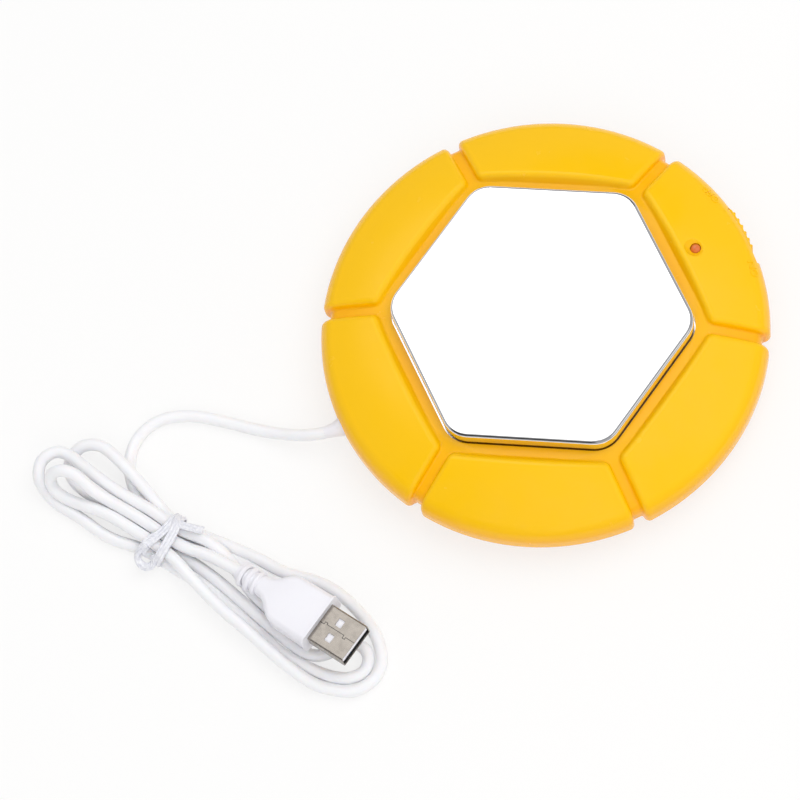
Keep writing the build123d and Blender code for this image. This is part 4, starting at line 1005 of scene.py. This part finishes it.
class WARMER_OT_plug(bpy.types.Operator):
    """Seam of the plug's shell, the inside of its socket with painted shade, and the ribs of its strain
    relief
    """

    bl_idname = "warmer.plug"
    bl_label = "Plug details"

    def execute(self, context):
        top = SHELL_HEIGHT / 2 + SEAM_LIFT
        points = [plug_point(GRIP_END + x * MM, y * MM, top) for x, y in SEAM_PATH]
        seam = flat_strip("shell_seam", points, plug_axes()[2], SEAM_WIDTH)
        dress(seam, "black_plastic")

        # the socket's end wall and the floor in front of it, black as painted shade, and the tongue's
        # front edge
        inner = SHELL_HEIGHT / 2 - SHELL_SHEET
        wall_up = (-inner, inner - SOCKET_OPEN)
        floor_along = (SOCKET_END[1], SHELL_LENGTH - SHELL_SHEET)
        floor_up = (-inner, SOCKET_FLOOR - inner)
        self.block("socket_end_painted_shade", "black_plastic", SOCKET_END, SOCKET_HALF_WIDTH, wall_up)
        self.block("socket_floor_painted_shade", "black_plastic", floor_along, SOCKET_HALF_WIDTH, floor_up)
        self.block("tongue_front", "white_plastic", *TONGUE_FRONT)

        # ribs of the strain relief
        ribs = joined("relief_ribs", [self.rib(along) for along in RIB_PLACES])
        dress(ribs, "white_plastic")
        return {"FINISHED"}

    def block(self, name, slot, along, half_width, up):
        """Small block in the shell, measured from the front of the grip."""
        widths = (-half_width, half_width)
        places = [(GRIP_END + x, y, z) for x in along for y in widths for z in up]
        faces = [(0, 1, 3, 2), (4, 6, 7, 5), (0, 4, 5, 1), (2, 3, 7, 6), (0, 2, 6, 4), (1, 5, 7, 3)]
        piece = mesh_object(name, [plug_point(*place) for place in places], faces, smooth=False)
        dress(piece, slot)

    def rib(self, along):
        """Rounded band round the relief, a little flattened as the grip is."""
        turns, sides = RIB_SIDES
        vertices = []
        for turn in range(turns):
            angle = 2 * math.pi * turn / turns
            for side in range(sides):
                swing = 2 * math.pi * side / sides
                reach = RIB_RADIUS + RIB_HALF_DEPTH * math.cos(swing)
                x = along + RIB_HALF_WIDTH * math.sin(swing)
                up = reach * RIB_FLATTENING * math.cos(angle)
                vertices.append(plug_point(x, reach * math.sin(angle), up))
        return mesh_object("rib", vertices, ring_faces(turns, sides, closed=True))


class WARMER_OT_recesses(bpy.types.Operator):
    """Cross recesses in the heads of the screws, dark as painted shade"""

    bl_idname = "warmer.recesses"
    bl_label = "Screw recesses"

    def execute(self, context):
        for node, upward in (("housing_screws", False), ("board_screws", True), ("clamp_screws", True)):
            heads = screw_heads(frame["nodes"][node], upward)
            for number, (place, size) in enumerate(heads):
                cross = self.cross(f"painted_shade_recess_{node}_{number}", place, size, upward)
                # Black stands in for the shade in the recess: painted shade.
                dress(cross, "black_plastic")
        return {"FINISHED"}

    def cross(self, name, place, size, upward):
        """Shallow cross with tapered arms, standing a hair out of the head's face; its black is painted
        shade for the hollow.
        """
        arm, half = size * CROSS_ARM, size * CROSS_HALF_WIDTH
        arm_outline = [(half, half, 0), (arm, half * CROSS_TAPER, 0), (arm, -half * CROSS_TAPER, 0)]
        outline = []
        for quarter in range(4):
            turn = Matrix.Rotation(quarter * math.pi / 2 + CROSS_TURN, 3, "Z")
            outline += [turn @ Vector(point) for point in arm_outline]
        ordered = sorted(outline, key=lambda point: math.atan2(point.y, point.x))
        rise = Vector((0, 0, CROSS_LIFT if upward else -CROSS_LIFT))
        vertices = [place + point + rise for point in ordered]
        vertices += [place + point - rise for point in ordered]
        count = len(ordered)
        faces = [tuple(range(count)), tuple(range(2 * count - 1, count - 1, -1))]
        faces += [(i, (i + 1) % count, (i + 1) % count + count, i + count) for i in range(count)]
        return mesh_object(name, vertices, faces, smooth=False)


class WARMER_OT_marks(bpy.types.Operator):
    """ON and OFF, raised on the rim beside the switch"""

    bl_idname = "warmer.marks"
    bl_label = "Switch marks"

    def execute(self, context):
        plastic = context.scene.warmer_plastic
        for word, angle in MARKS:
            letters = self.letters(word, angle, plastic.mark_height, plastic.mark_relief)
            mark = new_object("mark_" + word.lower(), letters)
            dress(mark, "yellow_gloss")
        return {"FINISHED"}

    def letters(self, word, angle, height, relief):
        """Mesh of a raised word, bent round the rim."""
        font = bpy.data.curves.new(word, "FONT")
        font.body = word
        font.size = height / CAPITAL_SHARE
        font.align_x = "CENTER"
        font.align_y = "CENTER"
        font.extrude = relief
        font.bevel_depth = relief / 2
        font.resolution_u = 4
        mesh = mesh_of(font)
        shape = bmesh.new()
        shape.from_mesh(mesh)
        long_edges = [edge for edge in shape.edges if edge.calc_length() > MARK_EDGE]
        bmesh.ops.subdivide_edges(shape, edges=long_edges, cuts=3, use_grid_fill=True)
        for vertex in shape.verts:
            x, y, z = vertex.co
            vertex.co = place_on_rim(angle, x, y, z - relief * MARK_SINK)
        shape.to_mesh(mesh)
        shape.free()
        return mesh


STEPS = (
    WARMER_OT_stage,
    WARMER_OT_finishes,
    WARMER_OT_tie,
    WARMER_OT_lead,
    WARMER_OT_plug,
    WARMER_OT_recesses,
    WARMER_OT_marks,
)

GROUPS = {
    "warmer_stage": WarmerStage,
    "warmer_plastic": WarmerPlastic,
    "warmer_metal": WarmerMetal,
    "warmer_lead": WarmerLead,
}


class WARMER_PT_panel(bpy.types.Panel):
    """Steps and sizes of the mug warmer"""

    bl_idname = "WARMER_PT_panel"
    bl_label = "Mug warmer"
    bl_space_type = "VIEW_3D"
    bl_region_type = "UI"
    bl_category = "Mug warmer"

    def draw(self, context):
        layout = self.layout
        for step in STEPS:
            layout.operator(step.bl_idname)
        for group in GROUPS:
            box = layout.box()
            settings = getattr(context.scene, group)
            for name in settings.__annotations__:
                box.prop(settings, name)


def register():
    for group in GROUPS.values():
        bpy.utils.register_class(group)
    for name, group in GROUPS.items():
        setattr(bpy.types.Scene, name, bpy.props.PointerProperty(type=group))
    for step in STEPS:
        bpy.utils.register_class(step)
    bpy.utils.register_class(WARMER_PT_panel)


def unregister():
    bpy.utils.unregister_class(WARMER_PT_panel)
    for step in reversed(STEPS):
        bpy.utils.unregister_class(step)
    for name in GROUPS:
        delattr(bpy.types.Scene, name)
    for group in GROUPS.values():
        bpy.utils.unregister_class(group)


def main():
    register()
    for name in ("stage", "finishes", "tie", "lead", "plug", "recesses", "marks"):
        getattr(bpy.ops.warmer, name)()
    bpy.context.view_layer.update()


if __name__ == "__main__":
    main()
